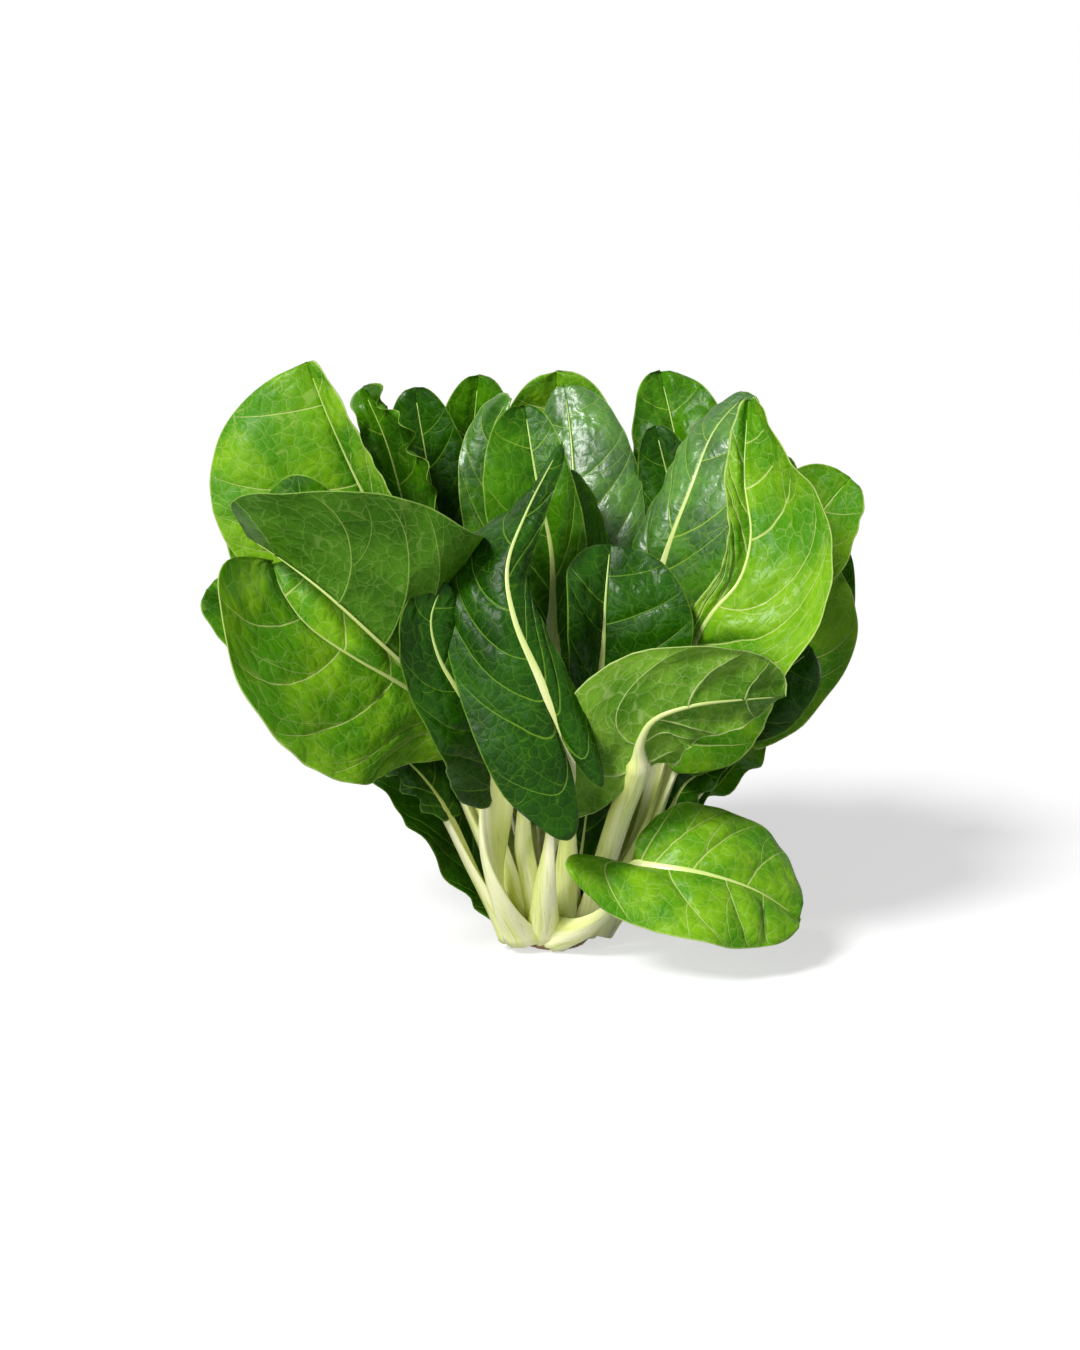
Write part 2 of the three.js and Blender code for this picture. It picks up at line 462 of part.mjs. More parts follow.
// A leaf's places, directions and upward normals at even steps along its spine, and the direction
// that its lobes hang back from.
function frameOf(leaf) {
  const points = leaf.spine.map((p) => new THREE.Vector3(...p));
  const curve = new THREE.CatmullRomCurve3(points, false, "centripetal");
  const at = Array.from({ length: SAMPLES + 1 }, (_, i) => curve.getPointAt(i / SAMPLES));
  const heading = at.map((_, i) =>
    at[Math.min(i + 1, SAMPLES)].clone().sub(at[Math.max(i - 1, 0)]).normalize(),
  );
  const inward = new THREE.Vector3(-at[FOOT_STEP].x, -at[FOOT_STEP].y, 0).normalize();
  // The normal is first carried along untwisted, and then turned by the twist that the leaf's face needs.
  const carried = [];
  for (const [i, t] of heading.entries()) {
    const before = i ? carried[i - 1] : inward;
    carried.push(before.clone().addScaledVector(t, -before.dot(t)).normalize());
  }
  const faces = leaf.face.map((f, k) => [mix(leaf.bare, 1, k / 2), new THREE.Vector3(...f)]);
  const twists = [];
  for (const [u, face] of [[0, inward], ...faces]) {
    const i = Math.round(u * SAMPLES);
    const side = heading[i].clone().cross(carried[i]);
    let twist = Math.atan2(face.dot(side), face.dot(carried[i]));
    const before = twists.length ? twists.at(-1)[1] : 0;
    twist += 2 * Math.PI * Math.round((before - twist) / (2 * Math.PI));
    twists.push([u, twist]);
  }
  const normal = carried.map((n, i) => {
    const u = i / SAMPLES;
    const k = Math.max(1, twists.findIndex(([end]) => u <= end));
    const [[u0, a], [u1, b]] = [twists[k - 1], twists[k]];
    const twist = mix(a, b, smooth((u - u0) / (u1 - u0)));
    return n.clone().applyAxisAngle(heading[i], twist);
  });
  const back = heading[Math.round(mix(leaf.bare, 1, leaf.back ?? BACK) * SAMPLES)];
  return { at, heading, normal, back };
}

// Half the width of a leaf's rib: the stalk, and the midrib it tapers into.
function ribAt(leaf, u, blade) {
  if (u < leaf.bare) return mix(leaf.girth[0], leaf.girth[1], u / leaf.bare);
  return leaf.girth[1] * (1 - blade) ** MIDRIB_TAPER + MIDRIB_TIP;
}

// How wide one side of a blade is, as a share of its span: round at both ends, fullest at `widest`.
function outlineAt(leaf, side, blade) {
  const peak = Math.log(0.5) / Math.log(leaf.widest[side]);
  const start = leaf.lobe[side] ? leaf.heart ?? HEART : 0;
  return Math.sqrt(Math.max(0, Math.sin(Math.PI * mix(start, 1, blade ** peak))));
}

// Where an arc that leaves the midrib `lifted` and turns by `bend` has got to after `out` of its length.
function arc(lifted, bend, out) {
  if (Math.abs(bend) < 1e-3) return [Math.cos(lifted) * out, Math.sin(lifted) * out];
  const end = lifted + bend * out;
  return [(Math.sin(end) - Math.sin(lifted)) / bend, (Math.cos(lifted) - Math.cos(end)) / bend];
}

// A point of a leaf: u along its spine, at one of the places across it, on its upper (1) or
// lower (-1) face, with the whole leaf grown outward by `extra`.
function leafPoint(leaf, frame, u, place, face, extra) {
  const i = Math.min(Math.floor(u * SAMPLES), SAMPLES - 1);
  const f = u * SAMPLES - i;
  const middle = frame.at[i].clone().lerp(frame.at[i + 1], f);
  const heading = frame.heading[i].clone().lerp(frame.heading[i + 1], f).normalize();
  const normal = frame.normal[i].clone().lerp(frame.normal[i + 1], f).normalize();
  const across = heading.clone().cross(normal).normalize();
  const isBlade = u >= leaf.bare;
  const blade = Math.max(0, (u - leaf.bare) / (1 - leaf.bare));
  const side = place < 0 ? 0 : 1;
  const sign = Math.sign(place);
  const rib = ribAt(leaf, u, blade);
  const width = isBlade ? leaf.span[side] * outlineAt(leaf, side, blade) + (rib * (1 - blade)) / 2 : rib;
  const half = Math.max(rib, width);
  const ring = Math.abs(place);
  const out = ring === 1 ? Math.min(ACROSS[1], rib / half) : ACROSS[ring];
  const turn = side ? leaf.right : leaf.left;
  const lifted = isBlade ? radians(along(turn[0], blade)) : 0;
  const bend = isBlade ? radians(along(turn[1], blade)) : 0;
  const reach = arc(lifted, bend, out);
  const [height, count, phase] = leaf.wave;
  const swell = height * out ** 3 * Math.min(1, blade * 5);
  const ripple = swell * Math.sin(2 * Math.PI * (count * blade + phase + side * EDGE_SHIFT));
  const round = out ** 1.5 * (LOBE_FULLNESS - LOBE_ROUNDING * out ** 4);
  const hang = isBlade ? leaf.lobe[side] * (1 - blade) ** 4 * round : 0;
  const end = sign * (lifted + bend * out);
  const up = normal.clone().multiplyScalar(Math.cos(end)).addScaledVector(across, -Math.sin(end));
  const outward = across.clone().multiplyScalar(Math.cos(end)).addScaledVector(normal, Math.sin(end));
  const bulge = Math.sqrt(Math.max(0, 1 - Math.min(1, (out * half) / (rib + 0.01)) ** 2));
  const sheet = mix(SHEET, RIM, out ** 6) / 2 + extra;
  const depth = rib * (isBlade ? MIDRIB_DEPTH : STALK_DEPTH);
  const past = u === 0 ? -extra : u === 1 ? extra : 0;
  return middle
    .addScaledVector(heading, past)
    .addScaledVector(across, sign * half * reach[0])
    .addScaledVector(normal, half * reach[1] + ripple)
    .addScaledVector(frame.back, -hang)
    .addScaledVector(outward, out === 1 ? sign * extra : 0)
    .addScaledVector(up, face > 0 ? sheet + rib * RIB_RISE * bulge : -(sheet + depth * bulge));
}

function leafGeometry(leaf, extra = 0) {
  const frame = frameOf(leaf);
  const rows = [];
  for (let k = 0; k < STALK_ROWS; k += 1) rows.push((leaf.bare * STALK_END * k) / (STALK_ROWS - 1));
  for (let k = 0; k <= BLADE_ROWS; k += 1) {
    const t = mix(k / BLADE_ROWS, (1 - Math.cos((Math.PI * k) / BLADE_ROWS)) / 2, 0.75);
    rows.push(mix(leaf.bare, 1, t));
  }
  const ring = [...PLACES.map((v) => [v, 1]), ...[...PLACES].reverse().map((v) => [v, -1])];
  const places = rows.flatMap((u) => ring.map(([v, face]) => leafPoint(leaf, frame, u, v, face, extra)));
  const n = ring.length;
  const middle = (row) => places.slice(row * n, row * n + n)
    .reduce((sum, p) => sum.add(p), new THREE.Vector3()).multiplyScalar(1 / n);
  const bottom = places.push(middle(0)) - 1;
  const tip = places.push(middle(rows.length - 1)) - 1;
  const faces = [];
  // A cell of the sheet is split along the shorter diagonal of its upper face, and its lower face the
  // same way, so that a warped sheet stays as thick and a lobe that hangs back doesn't fold over itself.
  const leansBack = (r, c) => {
    const [a, above] = [places[r * n + c], places[(r + 1) * n + c]];
    const [b, beside] = [places[r * n + c + 1], places[(r + 1) * n + c + 1]];
    return b.distanceTo(above) < a.distanceTo(beside);
  };
  // On a side with a lobe the stalk runs on into the midrib alone, and the lobe hangs free beside it.
  const ends = [leaf.lobe[0] ? BESIDE_RIB[0] : 0, leaf.lobe[1] ? BESIDE_RIB[1] : PLACES.length - 1];
  const joined = (c) => {
    const kept = (k) => Math.min(Math.max(k, ends[0]), ends[1]);
    return c < PLACES.length ? kept(c) : n - 1 - kept(n - 1 - c);
  };
  for (let r = 0; r + 1 < rows.length; r += 1)
    for (let c = 0; c < n; c += 1) {
      const d = (c + 1) % n;
      const isFoot = r === STALK_ROWS - 1;
      const [a, b] = [r * n + c, r * n + d];
      const [above, beside] = [c, d].map((k) => (r + 1) * n + (isFoot ? joined(k) : k));
      const isUpper = c < PLACES.length;
      const upper = isUpper ? c : Math.max(0, n - 2 - c);
      if (above === beside) faces.push(a, b, above);
      else if (isUpper === leansBack(r, upper)) faces.push(a, b, above, b, beside, above);
      else faces.push(a, b, beside, a, beside, above);
    }
  // The lower edge of a lobe, from its upper face round to its lower one.
  const foot = STALK_ROWS * n;
  for (let c = 0; c + 1 < PLACES.length; c += 1) {
    if (c >= ends[0] && c < ends[1]) continue;
    const [inner, outer] = [foot + c + 1, foot + c];
    const [under, underOuter] = [foot + n - 2 - c, foot + n - 1 - c];
    faces.push(inner, outer, underOuter, inner, underOuter, under);
  }
  const last = (rows.length - 1) * n;
  for (let c = 0; c < n; c += 1) {
    const d = (c + 1) % n;
    faces.push(bottom, d, c, tip, last + c, last + d);
  }
  return new THREE.BufferGeometry()
    .setAttribute("position", new THREE.Float32BufferAttribute(places.flatMap((p) => [p.x, p.y, p.z]), 3))
    .setIndex(faces);
}

// The crown: a squat root collar, cut flat below and domed above, grown by `extra` all round.
function crownGeometry(extra = 0) {
  const profile = [
    [0, -extra],
    [CROWN_FACE + extra, -extra],
    [CROWN_RIM + extra, CROWN_RIM_HEIGHT],
    [CROWN_RIM - 8 + extra, 14 + extra],
    [0, CROWN_TOP + extra],
  ];
  return new THREE.LatheGeometry(profile.map(([r, z]) => new THREE.Vector2(r, z)), CROWN_SIDES)
    .rotateX(Math.PI / 2)
    .translate(CROWN_OFFSET, 0, 0);
}

function toManifold(geometry) {
  const bare = geometry.clone();
  bare.deleteAttribute("normal");
  bare.deleteAttribute("uv");
  const merged = mergeVertices(bare, 1e-4);
  return new wasm.Manifold(new wasm.Mesh({
    numProp: 3,
    vertProperties: Float32Array.from(merged.getAttribute("position").array),
    triVerts: Uint32Array.from(merged.getIndex().array),
  }));
}

function toGeometry(solid) {
  const { numProp, vertProperties, triVerts } = solid.getMesh();
  const places = new Float32Array((vertProperties.length / numProp) * 3);
  for (let i = 0; i < places.length / 3; i += 1)
    for (let k = 0; k < 3; k += 1) places[3 * i + k] = vertProperties[numProp * i + k];
  const geometry = new THREE.BufferGeometry()
    .setAttribute("position", new THREE.BufferAttribute(places, 3))
    .setIndex([...triVerts]);
  geometry.computeVertexNormals();
  return geometry;
}

const head = new THREE.Group();

function add(name, geometry, color, roughness) {
  const mesh = new THREE.Mesh(geometry, new THREE.MeshStandardMaterial({ color, roughness }));
  mesh.name = name;
  head.add(mesh);
}

add("crown", crownGeometry(), CROWN_COLOUR, 0.7);

// Neighbours press together as they grow: each leaf gives way to the crown and to the leaves before it.
const standing = [toManifold(crownGeometry(GAP))];
for (const leaf of LEAVES) {
  const whole = toManifold(leafGeometry(leaf));
  const cut = standing.reduce((left, other) => left.subtract(other), whole);
  const largest = cut.decompose().sort((a, b) => b.volume() - a.volume())[0];
  add(leaf.name, toGeometry(largest.asOriginal().simplify(FINEST)), GREENS[leaf.tone], 0.4);
  standing.push(toManifold(leafGeometry(leaf, GAP)).add(whole));
}

// The head stands at the middle of its own box, on the ground.
const box = new THREE.Box3().setFromObject(head);
head.position.set(-(box.min.x + box.max.x) / 2, -(box.min.y + box.max.y) / 2, -box.min.z);

export default head;
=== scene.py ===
"""A head of Swiss chard that stands on its cut crown: glossy, blistered leaves on pale ribbed stalks.

The leaf table and the functions that draw a leaf work in millimetres, with +Z up, +X to the right,
-Y out of the front, and the origin on the floor below the middle of the leaves. Blender's objects
are in metres, in the frame of the CAD model. Three shares tell where something is on a leaf, from
0 to 1: u along the whole of it from foot to tip, b along its blade, and out across one half of it.
"""

import math
from types import SimpleNamespace

import bpy
import numpy as np
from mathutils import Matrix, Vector


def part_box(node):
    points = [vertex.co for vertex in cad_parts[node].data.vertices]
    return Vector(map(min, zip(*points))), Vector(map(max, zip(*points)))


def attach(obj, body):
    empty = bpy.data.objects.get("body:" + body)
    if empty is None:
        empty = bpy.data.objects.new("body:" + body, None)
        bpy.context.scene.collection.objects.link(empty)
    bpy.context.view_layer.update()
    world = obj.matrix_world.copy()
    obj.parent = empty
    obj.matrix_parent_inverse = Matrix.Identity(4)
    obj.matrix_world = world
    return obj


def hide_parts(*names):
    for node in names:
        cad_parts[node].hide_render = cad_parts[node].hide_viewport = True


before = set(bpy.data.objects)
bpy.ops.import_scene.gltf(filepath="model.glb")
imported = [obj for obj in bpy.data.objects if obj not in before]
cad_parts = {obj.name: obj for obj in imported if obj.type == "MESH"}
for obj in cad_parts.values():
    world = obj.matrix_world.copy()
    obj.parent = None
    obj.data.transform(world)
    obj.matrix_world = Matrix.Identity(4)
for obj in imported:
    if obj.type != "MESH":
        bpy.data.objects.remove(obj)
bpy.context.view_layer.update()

MM = 0.001
CURVE_STEPS = 40  # places on a spine's curve between two of its points
STEPS = 160  # steps that a leaf's frame is carried along its spine
FOOT_STEP = 12  # the step where a leaf's foot has left the crown
CROWN_OFFSET = -6  # where the crown's middle is along X
HEEL_HEIGHT = 9.0  # of a stalk's lower end, where it runs into the crown
FLOOR_GAP = 0.2  # kept between a stalk and the floor
FLARE = 0.35  # how much wider a stalk is at its foot, as a share
FLARE_LENGTH = 16  # how far up that fades
MIDRIB_END = 0.94  # how far up the blade the midrib stands out

# How a blade is drawn, in millimetres unless it says otherwise.
SHEET = 0.75  # thickness of a blade between its veins
RIM = 0.45  # the same at its edge
SWEEP = 0.5  # how far a side vein runs forward on its way out, as a share of the blade
SWEEP_CURVE = 1.3  # a power: above 1, a side vein turns forward more and more
VEIN_SPACING = 27  # between two side veins of one half
VEIN_HALF_WIDTH = 0.6  # of a side vein where it leaves the midrib
FINEST_VEIN = 0.12  # the same where it ends
VEIN_DEPTH = 1.0  # how far a side vein stands out below
GROOVE = 0.55  # how far it sinks in above
QUILT = 1.9  # how far a blade swells up between two side veins
CELL = 11  # size of the blisters between the veins
BLISTER = 0.7  # how far they stand up
ROLL = 0.9  # how far a blade rises and falls in broad soft rolls
ROLL_LENGTHS = (13, 17)  # of those rolls across and along the blade, per radian
RUFFLE_LENGTH = 19  # from one ruffle of the edge to the next
STALK_RIDGES = 5  # across the back of a stalk
RIDGE_HEIGHT = 0.5  # of those, on a stalk as wide as RIDGE_WIDTH
RIDGE_WIDTH = 8
ROWS_PER_BAND = 11  # of vertices, between two side veins
COLUMNS = 22  # of vertices, from the midrib to the edge
RIB_ROWS = 60  # rings of vertices along a stalk and its midrib
RIB_SIDES = 28  # vertices in each ring

# How fine the patterns in the finishes are, in millimetres.
NET_CELL = 7.0  # cells of the finer veins
FINE_CELL = 2.3  # and of the finest ones, really about 1 mm wide: that is too fine to show
NET_BEND = 6.25  # from one bend of the net to the next
NET_STRAY = 5  # how far the net bends
PATCH = 200 / 7  # broad lighter and darker patches of a blade
MOTTLE = 10 / 3  # and small ones
STALK_STREAK = 10 / 7  # width of the streaks of a stalk
STALK_PATCH = 5  # width of its paler and greener parts
STALK_SPECK = 10 / 11  # grain of its skin
CORK_GRAIN = 20 / 7  # of the dried cut
LEAF_BASE = 6.25  # width of a leaf base in the cut
GRAIN_SHIFT = 37  # sets the patterns of each leaf apart from the last one's

# How brightly each light falls on a surface that faces it, where 1 shows white as white.
SUN = 1.12
SKY = 0.07
SOFTBOX = 0.38
# Where they and the camera stand, seen from the head: directions, and distances in metres.
SUN_DIRECTION = (-0.5, -0.75, 0.75)
SUN_DISTANCE = 2
SUN_WIDTH = 14  # degrees across, which sets how soft the shadows are
SOFTBOX_DIRECTION = (-0.5, -1.0, 0.15)
SOFTBOX_DISTANCE = 2.4
SOFTBOX_SIZE = 1.5
CAMERA_RISE = 10  # degrees above level
CAMERA_DISTANCE = 1.5
LENS = 66.67
SENSOR_WIDTH = 36
VIEW_MIDDLE = (-15, 0, 166)  # what they are all aimed at, in the leaf table's frame

# Common ways to lift and bend a half blade, for left and right below.
FLAT = ((0, 0, 0), (0, 0, 0))
RAISED = ((10, 10, 10), (0, 0, 0))
CUPPED = ((10, 10, 10), (10, 10, 10))
CLOSED = ((20, 20, 10), (10, 10, 10))
ARCHED = ((10, 0, -10), (0, -20, -20))

# What a leaf has unless its entry says otherwise. Besides what is told below, heart is how broad its
# lobes are where they hang, back is where on the blade the midrib points the way they hang back,
# pucker is how strongly the blade swells between its veins, vein how strongly those stand out, and
# ruffle how deeply its edge ruffles. A waxed leaf has an upper skin that glares.
USUAL = dict(
    widest=(0.5, 0.5), lobe=(6, 6), left=CUPPED, right=CUPPED,
    heart=0.07, back=0.25, pucker=1.0, vein=1.0, ruffle=0.7, waxed=False,
)

# Each leaf's spine runs from its foot on the crown to its tip. The stalk is bare for the given share
# of it. Girth is half the stalk's width at its foot and where the blade starts; the pairs are the
# left and right half of the blade: span (its widest), where it is widest, and how far its lobe hangs
# back. Face is the way the blade looks at its foot, middle and tip. Left and right give, for the
# same three places, how many degrees a half is lifted and how many more it bends by its edge.
# Wave is how far the edge swings, how many times, and where in the swing it starts.
# Tone picks a leaf's skins from TONES. The light and deep tones are partly painted light and shade.
LEAVES = {
    "leaf_front_drooping": dict(
        spine=(
            (-5, -19, 12), (12, -42, 25), (28, -60, 47), (40, -70, 64),
            (59, -78, 67), (85, -81, 63), (110, -77, 53), (136, -68, 34),
        ),
        bare=0.45, girth=(10, 6), span=(47, 42), widest=(0.45, 0.52), lobe=(0, 46), tone="light",
        face=((0, -0.8, 0.6), (0.1, -0.75, 0.65), (0.2, -0.7, 0.6)),
        left=((0, 5, 10), (-10, -25, -20)), right=((10, 5, 0), (-10, -20, -10)),
        wave=(2, 2, 0), heart=0.2, back=0.7, pucker=1.6,
    ),
    "leaf_front_cupped": dict(
        spine=(
            (12, -11, 13), (20, -34, 50), (31, -69, 97), (40, -100, 131), (41, -115, 149),
            (48, -124, 163), (68, -126, 171), (96, -118, 173), (122, -102, 172),
        ),
        bare=0.56, girth=(8, 7), span=(26, 44), widest=(0.4, 0.25), lobe=(4, 54), tone="light",
        face=((-0.1, 0.95, 0.3), (-0.1, 0.95, 0.3), (0, 0.9, 0.4)),
        left=((0, 0, 0), (0, 10, 10)), right=((10, 5, 10), (10, 0, 0)),
        wave=(3, 2, 0.2), heart=0.16, pucker=1.6,
    ),
    "leaf_right_bright": dict(
        spine=(
            (16, -12, 15), (45, -28, 84), (60, -46, 149), (71, -60, 189), (83, -68, 214),
            (98, -68, 232), (105, -62, 257), (102, -50, 288), (105, -29, 332),
        ),
        bare=0.42, girth=(7, 5), span=(14, 60), widest=(0.65, 0.3), lobe=(0, 30), tone="light",
        face=((-0.3, -0.9, 0.4), (-0.1, -0.95, 0.3), (0, -0.95, 0.2)),
        left=((10, 20, 30), (10, 20, 10)), right=((-10, 0, 20), (30, 40, 110)),
        wave=(3, 2, 0.1), pucker=2.0, vein=1.4,
    ),
    "leaf_right_glossy": dict(
        spine=(
            (13, 4, 16), (39, 0, 151), (59, -16, 241),
            (73, -16, 279), (88, -2, 313), (108, 10, 334),
        ),
        bare=0.6, girth=(7, 5), span=(24, 40), widest=(0.45, 0.45), lobe=(12, 30), tone="mid",
        face=((-0.2, -0.9, 0.4), (-0.3, -0.9, 0.4), (-0.3, -0.8, 0.5)),
        left=((0, -20, -20), (-20, -20, -10)),
        wave=(1, 2, 0), waxed=True,
    ),
    "leaf_centre_round": dict(
        spine=(
            (-3, -16, 15), (3, -40, 66), (11, -56, 120),
            (20, -70, 184), (22, -72, 222), (25, -60, 252),
        ),
        bare=0.62, girth=(8, 7), span=(30, 50), widest=(0.55, 0.55), lobe=(6, 10), tone="deep",
        face=((0.1, -0.95, 0.2), (0, -1, 0.1), (0, -0.95, 0.3)),
        left=((50, 50, 10), (0, 0, 0)), right=((0, 0, 0), (10, 10, 10)),
        wave=(1, 2, 0),
    ),
    "leaf_front_twisted": dict(
        spine=(
            (-13, -20, 14), (-10, -58, 50), (-3, -96, 100), (-3, -118, 145), (-14, -127, 183),
            (-29, -124, 219), (-33, -114, 246), (-22, -100, 276), (-3, -82, 311),
        ),
        bare=0.5, girth=(9, 7), span=(44, 16), widest=(0.3, 0.3), lobe=(58, 36), tone="deep",
        face=((0, -0.95, 0.2), (0.1, -0.95, 0.2), (0.1, -0.9, 0.2)),
        left=((0, -30, -100), (10, 0, 0)), right=((-20, -20, 0), (-30, -20, 0)),
        wave=(2, 2, 0.3), heart=0.16,
    ),
    "leaf_front_dark": dict(
        spine=(
            (-25, -20, 14), (-34, -42, 40), (-40, -64, 78), (-40, -84, 120), (-47, -100, 154),
            (-60, -112, 176), (-71, -118, 197), (-75, -118, 218), (-68, -112, 238),
        ),
        bare=0.5, girth=(11, 10), span=(30, 26), widest=(0.35, 0.5), lobe=(20, 0), tone="deep",
        face=((0, -0.95, 0.3), (0.2, -0.95, 0.2), (0.3, -0.9, 0.2)),
        left=((30, 10, 0), (10, 20, 20)), right=((-20, -20, -10), (0, 0, 0)),
        wave=(2, 2, 0.6), heart=0.1,
    ),
    "leaf_left_folded": dict(
        spine=(
            (-22, -14, 18), (-49, -46, 103), (-67, -78, 154), (-84, -102, 183),
            (-108, -122, 211), (-134, -128, 236), (-158, -120, 253), (-177, -102, 262),
        ),
        bare=0.52, girth=(7, 6), span=(84, 46), widest=(0.32, 0.84), lobe=(6, 0), tone="mid",
        face=((0.2, 0.2, 0.9), (0.3, 0.1, 0.9), (0.3, 0, 0.9)),
        left=((112, 62, 25), (10, 20, 20)), right=((10, 20, 80), (0, 10, 20)),
        wave=(2, 2, 0), heart=0.08,
    ),
    "leaf_left_bowl": dict(
        spine=(
            (-27, -12, 17), (-56, -38, 98), (-73, -62, 149), (-88, -78, 170),
            (-119, -98, 193), (-144, -104, 212), (-158, -100, 230), (-165, -90, 245),
        ),
        bare=0.42, girth=(7, 6), span=(74, 46), widest=(0.62, 0.45), lobe=(0, 4), tone="light",
        face=((0.4, -0.7, 0.5), (0.4, -0.85, 0.4), (0.4, -0.8, 0.4)),
        left=((-10, 0, 20), (10, 10, 20)), right=((10, 10, 10), (20, 20, 20)),
        wave=(3, 2, 0.3), pucker=1.5, vein=1.4,
    ),
    "leaf_left_low": dict(
        spine=((-32, -16, 10), (-52, -36, 54), (-75, -50, 103), (-92, -54, 124), (-116, -48, 136)),
        bare=0.6, girth=(7, 5), span=(13, 28), widest=(0.45, 0.45), lobe=(4, 10), tone="deep",
        face=((0.4, -0.3, 0.8), (0.2, -0.5, 0.8), (0, -0.5, 0.8)),
        left=((-10, -20, -20), (-20, -20, -20)), right=RAISED,
        wave=(4, 4, 0),
    ),
    "leaf_left_outer": dict(
        spine=((-30, -8, 10), (-54, -16, 49), (-79, -24, 94), (-102, -22, 117), (-124, -8, 142)),
        bare=0.06, girth=(7, 6), span=(29, 36), widest=(0.55, 0.6), lobe=(0, 0), tone="deep",
        face=((0.6, -0.5, 0.4), (0.5, -0.5, 0.6), (0.3, -0.4, 0.8)),
        left=((0, 0, 0), (10, 10, 0)), right=((30, 20, 10), (0, 0, 0)),
        wave=(3, 4, 0.4),
    ),
    "leaf_left_tall": dict(
        spine=(
            (-22, 12, 20), (-76, 30, 145), (-100, 22, 220), (-112, 14, 255),
            (-128, 8, 291), (-142, 6, 324), (-153, 12, 352),
        ),
        bare=0.52, girth=(6, 6), span=(86, 26), widest=(0.6, 0.42), lobe=(0, 0), tone="light",
        face=((0.1, -0.85, 0.5), (0.1, -0.95, 0.3), (0.1, -0.95, 0.2)),
        left=((0, 0, 0), (0, -15, -20)), right=((60, 65, 60), (0, 0, 0)),
        wave=(2, 2, 0.1), pucker=1.4,
    ),
    "leaf_left_upper": dict(
        spine=((-26, 14, 17), (-102, 48, 150), (-150, 52, 206), (-180, 50, 236), (-203, 46, 258)),
        bare=0.5, girth=(6, 5), span=(44, 36), tone="mid",
        face=((0.4, -0.6, 0.7), (0.4, -0.6, 0.7), (0.3, -0.6, 0.7)),
        left=FLAT,
        wave=(3, 2, 0),
    ),
    "leaf_left_side": dict(
        spine=((-29, 2, 14), (-100, 0, 114), (-145, -20, 167), (-181, -30, 205), (-210, -30, 222)),
        bare=0.5, girth=(6, 5), span=(44, 44), lobe=(10, 10), tone="mid",
        face=((0.4, -0.4, 0.8), (0.4, -0.5, 0.7), (0.3, -0.6, 0.7)),
        left=FLAT,
        wave=(3, 2, 0.5),
    ),
    "leaf_left_crinkled": dict(
        spine=(
            (-21, 20, 23), (-60, 60, 120), (-86, 66, 204),
            (-100, 60, 266), (-110, 60, 302), (-124, 64, 334),
        ),
        bare=0.58, girth=(6, 4), span=(20, 40), lobe=(6, 10), tone="mid",
        face=((0.2, -0.9, 0.3), (0.3, -0.9, 0.2), (0.3, -0.9, 0.2)),
        left=FLAT, right=((20, 30, 40), (60, 90, 90)),
        wave=(9, 5, 0), pucker=2.0, ruffle=4.0,
    ),
    "leaf_back_left_dark": dict(
        spine=((-14, 24, 25), (-40, 66, 110), (-69, 88, 199), (-84, 94, 274), (-94, 98, 332)),
        bare=0.5, girth=(6, 4), span=(30, 30), tone="deep",
        face=((0.1, -1, 0.2), (0.1, -1, 0.1), (0, -1, 0.1)),
        left=RAISED, right=RAISED,
        wave=(2, 2, 0),
    ),
    "leaf_back_left_tall": dict(
        spine=((-8, 26, 25), (-20, 72, 110), (-44, 112, 195), (-57, 118, 291), (-54, 112, 339)),
        bare=0.5, girth=(6, 4), span=(26, 32), widest=(0.6, 0.6), tone="mid",
        face=((0.1, -1, 0.2), (0.1, -1, 0.1), (0, -1, 0.1)),
        left=RAISED, right=RAISED,
        wave=(2, 2, 0.4),
    ),
    "leaf_centre_left_glossy": dict(
        spine=((-12, 14, 23), (-40, 56, 203), (-47, 60, 271), (-44, 56, 308), (-33, 42, 329)),
        bare=0.6, girth=(6, 4), span=(18, 24), widest=(0.6, 0.6), tone="mid",
        face=((0.1, -1, 0.2), (0.1, -1, 0.2), (-0.2, -0.6, 0.8)),
        left=RAISED, right=RAISED,
        wave=(1, 2, 0.4), waxed=True,
    ),
    "leaf_centre_light": dict(
        spine=(
            (-17, -12, 17), (-21, -32, 76), (-12, -34, 153),
            (-8, -38, 240), (-17, -40, 287), (-24, -26, 329),
        ),
        bare=0.55, girth=(10, 7), span=(33, 21), widest=(0.6, 0.6), tone="mid",
        face=((0, -1, 0.1), (0, -1, 0.1), (0, -0.95, 0.2)),
        right=((0, 0, 0), (10, 10, 10)),
        wave=(2, 2, 0.2),
    ),
    "leaf_centre_big": dict(
        spine=((-3, 10, 21), (8, 16, 150), (6, 22, 215), (6, 32, 262), (4, 47, 302), (0, 66, 335)),
        bare=0.5, girth=(6, 5), span=(32, 42), tone="mid",
        face=((0, -1, 0.1), (-0.3, -0.9, 0.3), (-0.3, -0.9, 0.4)),
        left=((-10, -10, -10), (-20, -20, -20)), right=((-10, -10, -10), (-20, -20, -20)),
        wave=(2, 2, 0.2), waxed=True,
    ),
    "leaf_centre_narrow": dict(
        spine=((-4, -2, 18), (15, 0, 151), (16, -4, 206), (7, -8, 248), (-1, -10, 290)),
        bare=0.5, girth=(6, 4), span=(22, 24), tone="mid",
        face=((0, -1, 0.1), (0.1, -1, 0.2), (0.2, -1, 0.2)),
        left=FLAT, right=((-10, -20, -10), (-20, -20, -10)),
        wave=(2, 2, 0.2),
    ),
    "leaf_back_centre": dict(
        spine=((2, 24, 25), (5, 66, 104), (2, 104, 196), (-2, 112, 285), (-5, 98, 342)),
        bare=0.5, girth=(6, 4), span=(44, 44), widest=(0.6, 0.6), tone="light",
        face=((0, -1, 0.2), (0, -1, 0.1), (0, -0.9, 0.3)),
        left=RAISED, right=RAISED,
        wave=(3, 3, 0.4),
    ),
